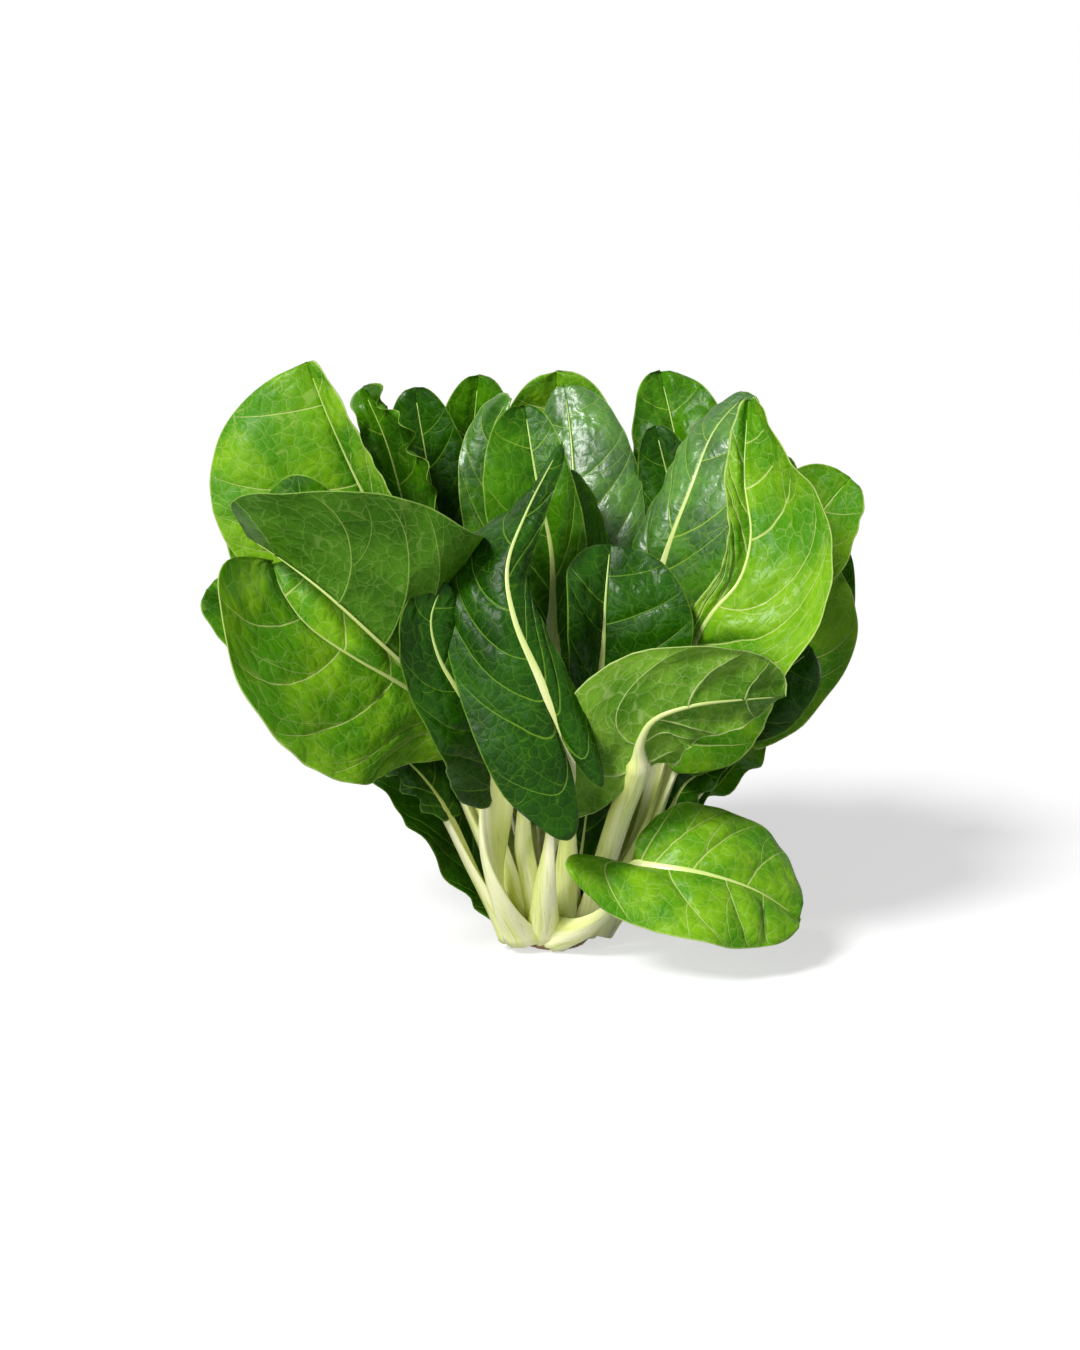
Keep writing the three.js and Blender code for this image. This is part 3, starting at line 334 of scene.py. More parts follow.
    "leaf_back_right_crinkled": dict(
        spine=((7, 16, 22), (73, 70, 201), (75, 74, 270), (67, 84, 312), (60, 96, 342)),
        bare=0.5, girth=(6, 4), span=(30, 36), widest=(0.6, 0.6), tone="mid",
        face=((0, -1, 0.2), (0, -1, 0.2), (0, -0.8, 0.5)),
        left=RAISED, right=RAISED,
        wave=(4, 3, 0.4), pucker=2.2, ruffle=2.0,
    ),
    "leaf_right_inner": dict(
        spine=((10, 10, 21), (71, 36, 181), (69, 40, 249), (55, 46, 312)),
        bare=0.5, girth=(6, 4), span=(24, 24), tone="deep",
        face=((-0.1, -1, 0.2), (0, -1, 0.2), (0, -1, 0.2)),
        left=RAISED, right=RAISED,
        wave=(2, 3, 0.4),
    ),
    "leaf_right_shaded": dict(
        spine=((8, -8, 13), (46, -16, 119), (76, -8, 191), (98, 4, 245)),
        bare=0.5, girth=(6, 4), span=(30, 30), tone="deep",
        face=((-0.3, -0.9, 0.3), (-0.3, -0.9, 0.3), (-0.2, -0.9, 0.4)),
        left=RAISED, right=RAISED,
        wave=(2, 2, 0.4),
    ),
    "leaf_right_high": dict(
        spine=(
            (14, 10, 20), (52, 24, 86), (98, 36, 158),
            (138, 48, 221), (158, 54, 257), (176, 58, 279),
        ),
        bare=0.64, girth=(6, 5), span=(36, 34), widest=(0.6, 0.6), lobe=(0, 0), tone="light",
        face=((-0.3, -0.8, 0.5), (-0.3, -0.85, 0.4), (-0.2, -0.9, 0.4)),
        left=((10, 10, 10), (0, 10, 0)), right=((10, 10, 10), (10, 20, 30)),
        wave=(3, 2, 0.4),
    ),
    "leaf_right_side": dict(
        spine=((18, 0, 14), (54, 4, 60), (92, 8, 112), (125, 16, 160), (147, 26, 195), (150, 40, 235)),
        bare=0.55, girth=(6, 5), span=(40, 34), tone="light",
        face=((-0.3, -0.6, 0.7), (-0.3, -0.85, 0.4), (-0.2, -0.9, 0.3)),
        left=FLAT, right=((-10, -20, -20), (-10, -10, -10)),
        wave=(3, 2, 0.1),
    ),
    "leaf_right_far": dict(
        spine=((16, 22, 16), (56, 50, 62), (101, 76, 118), (150, 92, 186), (172, 98, 236)),
        bare=0.5, girth=(6, 5), span=(34, 34), tone="mid",
        face=((-0.3, -0.6, 0.7), (-0.3, -0.7, 0.6), (-0.2, -0.7, 0.6)),
        left=FLAT, right=((0, 0, 0), (-10, -20, -20)),
        wave=(3, 2, 0.1),
    ),
    "leaf_right_low": dict(
        spine=(
            (20, -10, 12), (46, -26, 70), (66, -34, 124),
            (86, -42, 152), (115, -46, 168), (144, -40, 188),
        ),
        bare=0.54, girth=(7, 5), span=(34, 32), lobe=(0, 4), tone="deep",
        face=((-0.3, -0.8, 0.6), (-0.1, -0.8, 0.6), (0, -0.9, 0.4)),
        left=((-20, -20, -20), (0, 0, 0)), right=FLAT,
        wave=(3, 3, 0.4),
    ),
    "leaf_right_lowest": dict(
        spine=((23, -4, 9), (46, -14, 44), (62, -24, 86), (72, -28, 106), (96, -30, 120)),
        bare=0.62, girth=(6, 5), span=(20, 13), lobe=(4, 4), tone="deep",
        face=((-0.3, -0.7, 0.7), (-0.1, -0.7, 0.7), (0, -0.7, 0.7)),
        left=RAISED, right=FLAT,
        wave=(3, 3, 0.2),
    ),
    "leaf_right_outer": dict(
        spine=((22, 12, 12), (52, 22, 52), (80, 34, 90), (104, 46, 140), (114, 60, 188)),
        bare=0.3, girth=(8, 5), span=(30, 30), widest=(0.6, 0.6), lobe=(0, 0), tone="mid",
        face=((-0.8, -0.3, 0.4), (-0.7, -0.5, 0.4), (-0.5, -0.6, 0.5)),
        left=FLAT, right=FLAT,
        wave=(3, 2, 0.2),
    ),
    "leaf_right_peeping": dict(
        spine=((14, 16, 20), (56, 38, 100), (92, 56, 178), (124, 68, 253), (135, 66, 293)),
        bare=0.55, girth=(6, 4), span=(26, 24), lobe=(4, 4), tone="mid",
        face=((-0.2, -0.9, 0.3), (-0.2, -0.9, 0.3), (-0.1, -0.9, 0.3)),
        left=FLAT, right=FLAT,
        wave=(2, 2, 0.2),
    ),
    "leaf_rear_left": dict(
        spine=((-24, 22, 16), (-62, 62, 88), (-104, 96, 158), (-126, 112, 214), (-132, 116, 252)),
        bare=0.5, girth=(7, 5), span=(42, 40), lobe=(10, 10), tone="mid",
        face=((0.4, -0.5, 0.7), (0.4, -0.7, 0.5), (0.4, -0.7, 0.4)),
        wave=(3, 3, 0),
    ),
    "leaf_rear_centre_left": dict(
        spine=((-16, 28, 16), (-34, 84, 96), (-48, 128, 176), (-52, 142, 238), (-46, 140, 276)),
        bare=0.5, girth=(7, 5), span=(44, 42), lobe=(10, 10), tone="deep",
        face=((0.2, -0.7, 0.6), (0.2, -0.9, 0.4), (0.1, -0.9, 0.3)),
        wave=(3, 3, 0.3),
    ),
    "leaf_rear_centre": dict(
        spine=((2, 30, 16), (8, 88, 90), (14, 136, 160), (18, 156, 216), (18, 158, 254)),
        bare=0.5, girth=(7, 5), span=(42, 44), lobe=(10, 10), tone="mid",
        face=((0, -0.7, 0.7), (0, -0.9, 0.4), (0, -0.9, 0.3)),
        wave=(3, 3, 0.6),
    ),
    "leaf_rear_right": dict(
        spine=((10, 30, 14), (44, 82, 94), (82, 120, 166), (98, 136, 222), (102, 136, 262)),
        bare=0.5, girth=(7, 5), span=(42, 40), lobe=(10, 10), tone="deep",
        face=((-0.3, -0.6, 0.6), (-0.3, -0.8, 0.4), (-0.2, -0.8, 0.3)),
        wave=(3, 3, 0.8),
    ),
    "leaf_rear_low_left": dict(
        spine=((-8, 32, 11), (-28, 72, 52), (-52, 112, 84), (-76, 140, 100), (-92, 154, 98)),
        bare=0.45, girth=(7, 5), span=(40, 40), lobe=(10, 10), tone="mid",
        face=((0.2, -0.4, 0.9), (0.1, -0.2, 1), (-0.2, 0.3, 0.9)),
        left=ARCHED, right=ARCHED,
        wave=(4, 3, 0.2),
    ),
    "leaf_rear_low_right": dict(
        spine=((18, 24, 10), (46, 56, 52), (78, 88, 90), (108, 112, 110), (130, 128, 110)),
        bare=0.45, girth=(7, 5), span=(40, 40), lobe=(10, 10), tone="light",
        face=((-0.2, -0.4, 0.9), (-0.1, -0.2, 1), (0.3, 0.3, 0.9)),
        left=ARCHED, right=ARCHED,
        wave=(4, 3, 0.5),
    ),
    "leaf_heart_left": dict(
        spine=((-8, 6, 20), (-14, 14, 80), (-22, 24, 136), (-20, 34, 184)),
        bare=0.35, girth=(6, 4), span=(30, 30), tone="light",
        face=((0.6, -0.8, 0.1), (0.6, -0.8, 0.2), (0.5, -0.8, 0.3)),
        left=CLOSED, right=CLOSED,
        wave=(3, 3, 0.1),
    ),
    "leaf_heart_right": dict(
        spine=((4, 8, 20), (20, 20, 80), (32, 28, 128), (36, 34, 172)),
        bare=0.35, girth=(6, 4), span=(26, 24), tone="light",
        face=((-0.7, -0.7, 0.2), (-0.7, -0.7, 0.3), (-0.6, -0.7, 0.4)),
        left=CLOSED, right=CLOSED,
        wave=(3, 3, 0.5),
    ),
    "leaf_heart_rear": dict(
        spine=((0, 14, 20), (2, 40, 80), (4, 62, 130), (2, 76, 176)),
        bare=0.35, girth=(6, 4), span=(34, 34), tone="light",
        face=((0, -0.9, 0.3), (0, -0.9, 0.4), (0, -0.8, 0.5)),
        left=CLOSED, right=CLOSED,
        wave=(3, 3, 0.8),
    ),
    "leaf_heart_front": dict(
        spine=((4, -5, 20), (10, -11, 60), (14, -12, 94), (17, -6, 126)),
        bare=0.12, girth=(5, 4), span=(22, 22), lobe=(2, 2), tone="deep",
        face=((-0.1, -0.9, 0.1), (0, -0.9, 0.1), (0, -0.9, 0.3)),
        left=CLOSED, right=CLOSED,
        wave=(3, 3, 0.3),
    ),
    "leaf_inner_left": dict(
        spine=((-18, 6, 20), (-46, 12, 96), (-66, 14, 160), (-72, 12, 214)),
        bare=0.45, girth=(6, 5), span=(34, 32), tone="mid",
        face=((0.5, -0.7, 0.4), (0.6, -0.7, 0.3), (0.6, -0.7, 0.2)),
        wave=(3, 3, 0.2),
    ),
    "leaf_inner_right": dict(
        spine=((9, 20, 20), (38, 58, 80), (62, 84, 134), (72, 98, 180)),
        bare=0.4, girth=(6, 5), span=(30, 30), tone="mid",
        face=((-0.5, -0.6, 0.6), (-0.5, -0.7, 0.4), (-0.5, -0.7, 0.3)),
        wave=(3, 3, 0.6),
    ),
    "leaf_inner_rear": dict(
        spine=((-4, 26, 18), (-4, 66, 76), (-6, 96, 128), (-8, 110, 170)),
        bare=0.4, girth=(6, 5), span=(26, 26), tone="light",
        face=((0.1, -0.8, 0.5), (0.1, -0.9, 0.3), (0.1, -0.9, 0.3)),
        wave=(3, 3, 0.9),
    ),
}


def mix(a, b, t):
    return a + (b - a) * t


def smooth(t):
    t = np.clip(t, 0, 1)
    return t * t * (3 - 2 * t)


def along(values, t):
    """A value given at the foot, middle and tip of a blade, eased between them."""
    foot, middle, tip = values
    return np.where(t < 0.5, mix(foot, middle, smooth(2 * t)), mix(middle, tip, smooth(2 * t - 1)))


def unit(v):
    return v / np.linalg.norm(v, axis=-1, keepdims=True)


def even_places(points):
    """Even places on the smooth (centripetal Catmull-Rom) curve through the points, and its length."""
    p = np.array(points, float)
    p = np.vstack([2 * p[0] - p[1], p, 2 * p[-1] - p[-2]])
    curve = []
    for a, b, c, d in zip(p, p[1:], p[2:], p[3:]):
        ab, bc, cd = (np.linalg.norm(v) ** 0.5 for v in (b - a, c - b, d - c))
        start = ((b - a) / ab - (c - a) / (ab + bc) + (c - b) / bc) * bc
        end = ((c - b) / bc - (d - b) / (bc + cd) + (d - c) / cd) * bc
        t = np.linspace(0, 1, CURVE_STEPS, endpoint=False)[:, None]
        square = 3 * (c - b) - 2 * start - end
        cube = 2 * (b - c) + start + end
        curve.append(b + start * t + square * t**2 + cube * t**3)
    curve = np.vstack([*curve, p[-2]])
    gone = np.r_[0, np.cumsum(np.linalg.norm(np.diff(curve, axis=0), axis=1))]
    even = np.linspace(0, gone[-1], STEPS + 1)
    return np.stack([np.interp(even, gone, curve[:, k]) for k in range(3)], 1), gone[-1]


def leaf_frame(leaf):
    """A leaf's places, headings and upward normals at even steps along its spine."""
    at, length = even_places(leaf.spine)
    heading = unit(np.gradient(at, axis=0))
    inward = unit(-at[FOOT_STEP] * (1, 1, 0))
    carried = []
    for t in heading:
        before = carried[-1] if carried else inward
        carried.append(unit(before - t * (before @ t)))
    carried = np.array(carried)
    # The leaf faces inward at its foot, then as its entry says where the blade starts and beyond.
    shares = np.array([0, *(mix(leaf.bare, 1, k / 2) for k in range(3))])
    twists = []
    for share, face in zip(shares, [inward, *np.array(leaf.face, float)]):
        i = round(share * STEPS)
        side = np.cross(heading[i], carried[i])
        twist = math.atan2(face @ side, face @ carried[i])
        before = twists[-1] if twists else 0
        twists.append(twist + 2 * math.pi * round((before - twist) / (2 * math.pi)))
    twists = np.array(twists)
    u = np.linspace(0, 1, STEPS + 1)
    k = np.clip(np.searchsorted(shares, u), 1, 3)
    part = (u - shares[k - 1]) / (shares[k] - shares[k - 1])
    twist = mix(twists[k - 1], twists[k], smooth(part))[:, None]
    normal = carried * np.cos(twist) + np.cross(heading, carried) * np.sin(twist)
    back = heading[round(mix(leaf.bare, 1, leaf.back) * STEPS)]
    return SimpleNamespace(at=at, heading=heading, normal=normal, back=back, length=length)


def frame_at(line, u):
    """The place, the normal and the direction across a leaf at each share u of its spine."""
    step = np.clip(u, 0, 1) * STEPS
    low = np.minimum(step.astype(int), STEPS - 1)
    part = (step - low)[..., None]
    at, heading, normal = (
        mix(values[low], values[low + 1], part) for values in (line.at, line.heading, line.normal)
    )
    normal = unit(normal)
    return at, normal, unit(np.cross(unit(heading), normal))


def up_blade(leaf, u):
    """How far up its blade a place on a leaf is, which is 0 all along the bare stalk."""
    return np.maximum(0, (u - leaf.bare) / (1 - leaf.bare))


def rib_width(leaf, u):
    """Half the width of the stalk, and of the midrib it thins into once the blade starts."""
    b = up_blade(leaf, u)
    stalk = mix(leaf.girth[0], leaf.girth[1], np.minimum(1, u / leaf.bare))
    soon_gone = 0.56 * np.exp(-b / 0.09)
    gone_by_tip = 0.3 * (1 - b) ** 1.3
    midrib = leaf.girth[1] * (soon_gone + gone_by_tip) + 0.35
    return np.where(u < leaf.bare, stalk, mix(stalk, midrib, smooth(b / 0.05)))


def outline(leaf, side, b):
    """How wide one half of a blade is, as a share of its span."""
    peak = math.log(0.5) / math.log(leaf.widest[side])
    start = leaf.heart if leaf.lobe[side] else 0
    m = mix(start, 1, b**peak)
    bluntness = 0.5 - 0.1 * m * m  # the lower this power, the rounder the end
    return np.clip(np.sin(math.pi * m), 0, 1) ** bluntness


def half_width(leaf, side, b):
    """How far one half of a blade reaches from the middle of its midrib."""
    midrib = leaf.girth[1] * (1 - b) ** 1.4 + 1
    return leaf.span[side] * outline(leaf, side, b) + midrib * (1 - b) / 2 + 0.2


def hang(leaf, side, b, out):
    """How far a lobe hangs back towards the foot: round at its end, gone by the tip."""
    full = 1.7  # makes a lobe's lowest place hang as far as its entry says
    spread = out ** (0.5 + 4 * b)
    tuck = 1 - 0.62 * out**2  # brings its outer side up again
    return leaf.lobe[side] * (1 - b) ** 4 * full * spread * tuck


def on_blade(leaf, line, side, b, out):
    """The middle of the sheet at b along one half of a blade and out across it, and which way is up."""
    sign = (-1, 1)[side]
    u = mix(leaf.bare, 1, b)
    at, normal, across = frame_at(line, u)
    half = half_width(leaf, side, b)
    # The half lies flat as far as the midrib covers it, and bends evenly from there to its edge.
    under_rib = np.minimum(0.75 * rib_width(leaf, u), 0.6 * half)
    free = half - under_rib
    beyond = np.clip((out * half - under_rib) / free, 0, 1)
    lift, turn = (leaf.left, leaf.right)[side]
    lifted = np.radians(along(lift, b))
    bend = np.radians(along(turn, b))
    least = 1e-3  # stands for no bend, which the division can't take
    bend = np.where(np.abs(bend) < least, least, bend)
    end = lifted + bend * beyond
    over = np.minimum(out * half, under_rib) + free * (np.sin(end) - np.sin(lifted)) / bend
    rise = free * (np.cos(lifted) - np.cos(end)) / bend
    height, count, phase = leaf.wave
    other_side = side * 0.37  # keeps the two edges from swinging together
    wave = np.sin(2 * math.pi * (count * b + phase + other_side))
    ripple = height * out**3 * np.minimum(1, b * 5) * wave
    middle = (
        at
        + across * (sign * over)[..., None]
        + normal * (rise + ripple)[..., None]
        - line.back * hang(leaf, side, b, out)[..., None]
    )
    end = end * smooth(beyond * 12)
    up = normal * np.cos(end)[..., None] - across * (sign * np.sin(end))[..., None]
    return middle, up


def blister_height(x, y, cell, rng):
    """Soft pillows over a patch of irregular cells: 1 in a cell's middle, 0 where two cells meet."""
    xs, ys = np.meshgrid(np.arange(-1, x.max() / cell + 2), np.arange(-1, y.max() / cell + 2))
    seeds = np.stack([xs.ravel(), ys.ravel()], 1)
    stray = 0.42  # of a cell, at most, from the even grid
    seeds = (seeds + rng.uniform(-stray, stray, seeds.shape)) * cell
    away = np.hypot(x.ravel()[:, None] - seeds[:, 0], y.ravel()[:, None] - seeds[:, 1])
    nearest = np.argsort(away, axis=1)[:, :2]
    first, second = np.take_along_axis(away, nearest, 1).T
    apart = np.linalg.norm(seeds[nearest[:, 0]] - seeds[nearest[:, 1]], axis=1)
    edge = (second**2 - first**2) / (2 * apart)
    slope = 0.2 * cell  # how wide the dip around a pillow is
    return (1 - np.exp(-((edge / slope) ** 1.5))).reshape(x.shape)


def rows_between_veins(length, side, rng):
    """Where a half blade's rows lie on its way up, and how many side veins each has behind it.

    Each side vein has a row of its own, where the second number is whole. The bands before the
    first vein and after the last one count half.
    """
    count = max(3, round(length / VEIN_SPACING))
    start = (0.35, 0.6)[side]  # sets the two halves' veins apart
    veins = (np.arange(count) + start + rng.uniform(-0.25, 0.25, count)) / (count + 0.3)
    marks = np.r_[0, veins, 1]
    numbers = np.r_[0.5, np.arange(1, count + 1), count + 0.5]
    rise = [np.zeros(1)]
    number = [np.full(1, 0.5)]
    for k in range(count + 1):
        steps = max(4, round((marks[k + 1] - marks[k]) * count * ROWS_PER_BAND))
        t = np.arange(1, steps + 1) / steps
        t = mix(t, smooth(t), 0.6)  # closer together by the veins
        rise.append(mix(marks[k], marks[k + 1], t))
        number.append(mix(numbers[k], numbers[k + 1], t))
    return np.concatenate(rise), np.concatenate(number), count


def across_rows(x, y, number):
    """How many millimetres of blade, square to its rows, one side vein's band takes up."""
    along_x, across_x = np.gradient(x)
    along_y, across_y = np.gradient(y)
    apart = np.abs(along_x * across_y - along_y * across_x) / np.hypot(across_x, across_y)
    return np.clip(apart / np.gradient(number)[:, None], 0.5, 60)


def half_blade(leaf, line, side, rng):
    """One half of a blade as a thin closed sheet, with what its finish needs at each vertex."""
    length = line.length * (1 - leaf.bare)
    rise, number, count = rows_between_veins(length, side, rng)

    # Rows leave the midrib and run forward as the side veins do, less so by the blade's two ends.
    leaves_rib = np.linspace(0, 1, 400)
    sweep = SWEEP * (1 - leaves_rib) * (1 - np.exp(-leaves_rib / 0.06))
    midway = 0.6  # how far out a row is where it passes its own rise
    t = np.interp(rise, leaves_rib + sweep * midway**SWEEP_CURVE, leaves_rib)[:, None]
    out = np.r_[np.linspace(0, 0.985, COLUMNS - 1), 1][None, :]
    wander = 0.008 * np.sin(8 * out + number[:, None] * 2.2) * out * (1 - out) * (1 - t)
    b = np.clip(t + np.interp(t, leaves_rib, sweep) * out**SWEEP_CURVE + wander, 0, 1)
    out = np.broadcast_to(out, b.shape)
    number = np.broadcast_to(number[:, None], b.shape)
    middle, up = on_blade(leaf, line, side, b, out)
    half = half_width(leaf, side, b)
    x = half * out
    y = b * length - hang(leaf, side, b, out)

    # Side veins differ in strength, and weaken towards the tip and the edge.
    band = across_rows(x, y, number[:, 0])
    strengths = rng.uniform(0.55, 1.25, count + 2) * np.linspace(1.15, 0.6, count + 2)
    strength = leaf.vein * np.interp(number, np.arange(count + 2), strengths)
    vein = VEIN_HALF_WIDTH * strength * (1 - out) ** 0.6 + FINEST_VEIN
    ratio = np.abs(number - np.round(number)) * band / vein
    on_vein = np.exp(-(ratio**2))

    # The blade swells between them. All but the ruffles fades out by the midrib and by the edge.
    swell = np.sin(math.pi * (number % 1)) ** 0.8
    uneven = 0.75 + 0.45 * np.sin(x / 9 + 2.3 * number + rng.uniform(0, 6))
    blister = blister_height(x, y, CELL * leaf.pucker**0.4, rng)
    beside = rib_width(leaf, mix(leaf.bare, 1, b))
    by_rib = smooth((x - 0.8 * beside) / 7)
    inside = (1 - out**5) * by_rib
    quilt = QUILT * leaf.pucker * swell * uneven * inside * np.minimum(1, band / 14)
    swing = 2 * math.pi * y / RUFFLE_LENGTH + rng.uniform(0, 6) + 2 * np.sin(y / 17)
    ruffle = leaf.ruffle * out**7 * np.sin(swing)
    roll = 1
    for way, roll_length in zip((x, y), ROLL_LENGTHS):
        roll = roll * np.sin(way / roll_length + rng.uniform(0, 6))
    groove = -GROOVE * strength * on_vein * (1 - out) * by_rib
    sunk = 0.3 * beside * (1 - smooth(x / beside))  # keeps the sheet inside the midrib where they meet
    lift = quilt + BLISTER * leaf.pucker * blister * inside + ruffle
    lift = lift + ROLL * (roll * inside) + groove - sunk
    middle = middle + up * lift[..., None]

    thick = mix(SHEET, RIM, out**4) / 2
    ridge = VEIN_DEPTH * strength * on_vein * (1 - out) ** 0.8
    upper = middle + up * thick[..., None]
    lower = middle - up * (thick + ridge)[..., None]
    steps = np.linalg.norm(np.diff(middle, axis=0), axis=2)
    from_rear = np.r_[np.zeros((1, out.shape[1])), steps.cumsum(0)]
    edge = np.minimum((1 - out) * half, from_rear)
    marks = np.stack([edge, blister, strength], 2)
    veins = np.stack([number, out, band], 2)
    flat = np.stack([x * (-1, 1)[side], y, np.zeros_like(x)], 2)
    return upper, lower, {"marks": marks, "veins": veins, "flat": flat}


def close_sheet(rows, columns, flip):
    """Quads of a sheet: its upper face, its lower face and the strip around them."""
    shift = rows * columns
    top = np.arange(shift).reshape(rows, columns)
    face = np.stack([top[:-1, :-1], top[:-1, 1:], top[1:, 1:], top[1:, :-1]], -1).reshape(-1, 4)
    loop = np.r_[top[0, :-1], top[:-1, -1], top[-1, :0:-1], top[:0:-1, 0]]
    on = np.roll(loop, -1)
    strip = np.stack([loop, loop + shift, on + shift, on], 1)
    quads = [face, face[:, ::-1] + shift, strip]
    return [q[:, ::-1] for q in quads] if flip else quads


def rib(leaf, line, rng):
    """The stalk and midrib: a bar, hollow above and ridged behind, whose foot clasps the crown."""
    u = np.linspace(0, 1, RIB_ROWS) ** 0.9 * mix(leaf.bare, 1, MIDRIB_END)
    at, normal, across = frame_at(line, u)
    b = up_blade(leaf, u)
    gone = u * line.length
    foot = np.exp(-gone / FLARE_LENGTH)
    width = rib_width(leaf, u) * (1 + FLARE * foot)
    bare = 1 - smooth(b / 0.12)
    rise = mix(0.45 + 0.1 * width, 0.65 + 0.12 * width, bare)
    depth = mix(0.5 + 0.75 * width, 0.95 * width, bare)
    hollow = 0.2 * width * bare
    angle = np.linspace(0, 2 * math.pi, RIB_SIDES, endpoint=False)
    x = np.cos(angle)[None, :]
    upper = np.maximum(0, np.sin(angle))[None, :]
    lower = np.maximum(0, -np.sin(angle))[None, :]
    ridges = np.cos(x * math.pi * STALK_RIDGES + rng.uniform(0, 6)) * RIDGE_HEIGHT
    ridges = ridges * (width / RIDGE_WIDTH)[:, None]
    wander = np.sin(gone / 23 + rng.uniform(0, 6))[:, None]
    y = rise[:, None] * upper**0.8 - hollow[:, None] * (1 - x**2) * (upper > 0)
    y = y - depth[:, None] * lower**0.85
    y = y - ridges * (lower * 0.9 + upper * 0.35) * bare[:, None] * (0.8 + 0.2 * wander)
    clasp = 0.3 * width[:, None] * x**2 * foot[:, None]
    ring = (
        at[:, None]
        + across[:, None] * (x * width[:, None])[..., None]
        + normal[:, None] * (y + clasp)[..., None]
    )

    # The foot runs on down into the crown, by two flatter rings that close in on its middle.
    axis = np.array([CROWN_OFFSET, 0, 0])
    heel = axis + (at[0] - axis) * (0.5, 0.5, 0) + (0, 0, HEEL_HEIGHT)
    shape = (ring[0] - at[0]) * (1, 1, 0.25)
    heels = [heel + shape * 0.9, mix(heel, at[0], 0.5) + mix(shape, ring[0] - at[0], 0.5) * 1.04]
    ring = np.concatenate([np.array(heels), ring])
    width = np.r_[width[0], width[0], width]
    gone = np.r_[-8.0, -4.0, gone][:, None]
    b = np.r_[0, 0, b][:, None]
    flat = np.stack(np.broadcast_arrays(x * width[:, None], gone, 0 * x), 2)
    marks = np.stack(np.broadcast_arrays(0 * x, b, upper), 2)
    return ring, {"marks": marks, "veins": np.zeros_like(marks), "flat": flat}


def close_bar(rows, sides):
    """Quads around a bar and a fan of triangles at each end, whose middles come last."""
    index = np.arange(rows * sides).reshape(rows, sides)
    around = np.roll(index, -1, axis=1)
    quads = np.stack([index[:-1], around[:-1], around[1:], index[1:]], -1).reshape(-1, 4)
    start = np.stack([around[0], index[0], np.full(sides, rows * sides)], 1)
    end = np.stack([index[-1], around[-1], np.full(sides, rows * sides + 1)], 1)
    return quads, np.vstack([start, end])


def srgb(hex_colour):
    """A colour written as on a screen, turned into the linear values that shaders take."""
    shares = [int(hex_colour[i : i + 2], 16) / 255 for i in (1, 3, 5)]
    return (*((c / 12.92 if c <= 0.04045 else ((c + 0.055) / 1.055) ** 2.4) for c in shares), 1)


def add(tree, kind, sockets=(), **settings):
    """Adds a node. Its sockets, in order or by name or number, take values or other nodes.

    Of another node its first output is taken, unless one of its outputs is given instead.
    """
    node = tree.nodes.new("ShaderNode" + kind)
    for name, value in settings.items():
        setattr(node, name, value)
    for name, value in sockets.items() if isinstance(sockets, dict) else enumerate(sockets):
        if isinstance(value, bpy.types.Node):
            value = value.outputs[0]
        if isinstance(value, bpy.types.NodeSocket):
            tree.links.new(value, node.inputs[name])
        else:
            node.inputs[name].default_value = value
    return node


# Settings that many nodes share: a smooth fade of a value from one range to another, a blend of two
# colours, and cells that tell how far away their edge is.
FADE = dict(interpolation_type="SMOOTHSTEP")
COLOURS = dict(data_type="RGBA")
CELLS = dict(feature="DISTANCE_TO_EDGE")


def paint(tree, colour, coats):
    """Lays coats over a colour, each with its share and its own colour."""
    for share, coat in coats:
        colour = add(tree, "Mix", {0: share, 6: colour, 7: srgb(coat)}, **COLOURS).outputs[2]
    return colour


def new_material(name):
    material = bpy.data.materials.new(name)
    material.use_nodes = True
    material.node_tree.nodes.clear()
    return material, material.node_tree


def vertex_values(tree, name):
    """The values kept at each vertex under a name, as one vector and as three numbers."""
    vector = add(tree, "Attribute", attribute_name=name).outputs["Vector"]
    return vector, add(tree, "SeparateXYZ", [vector]).outputs


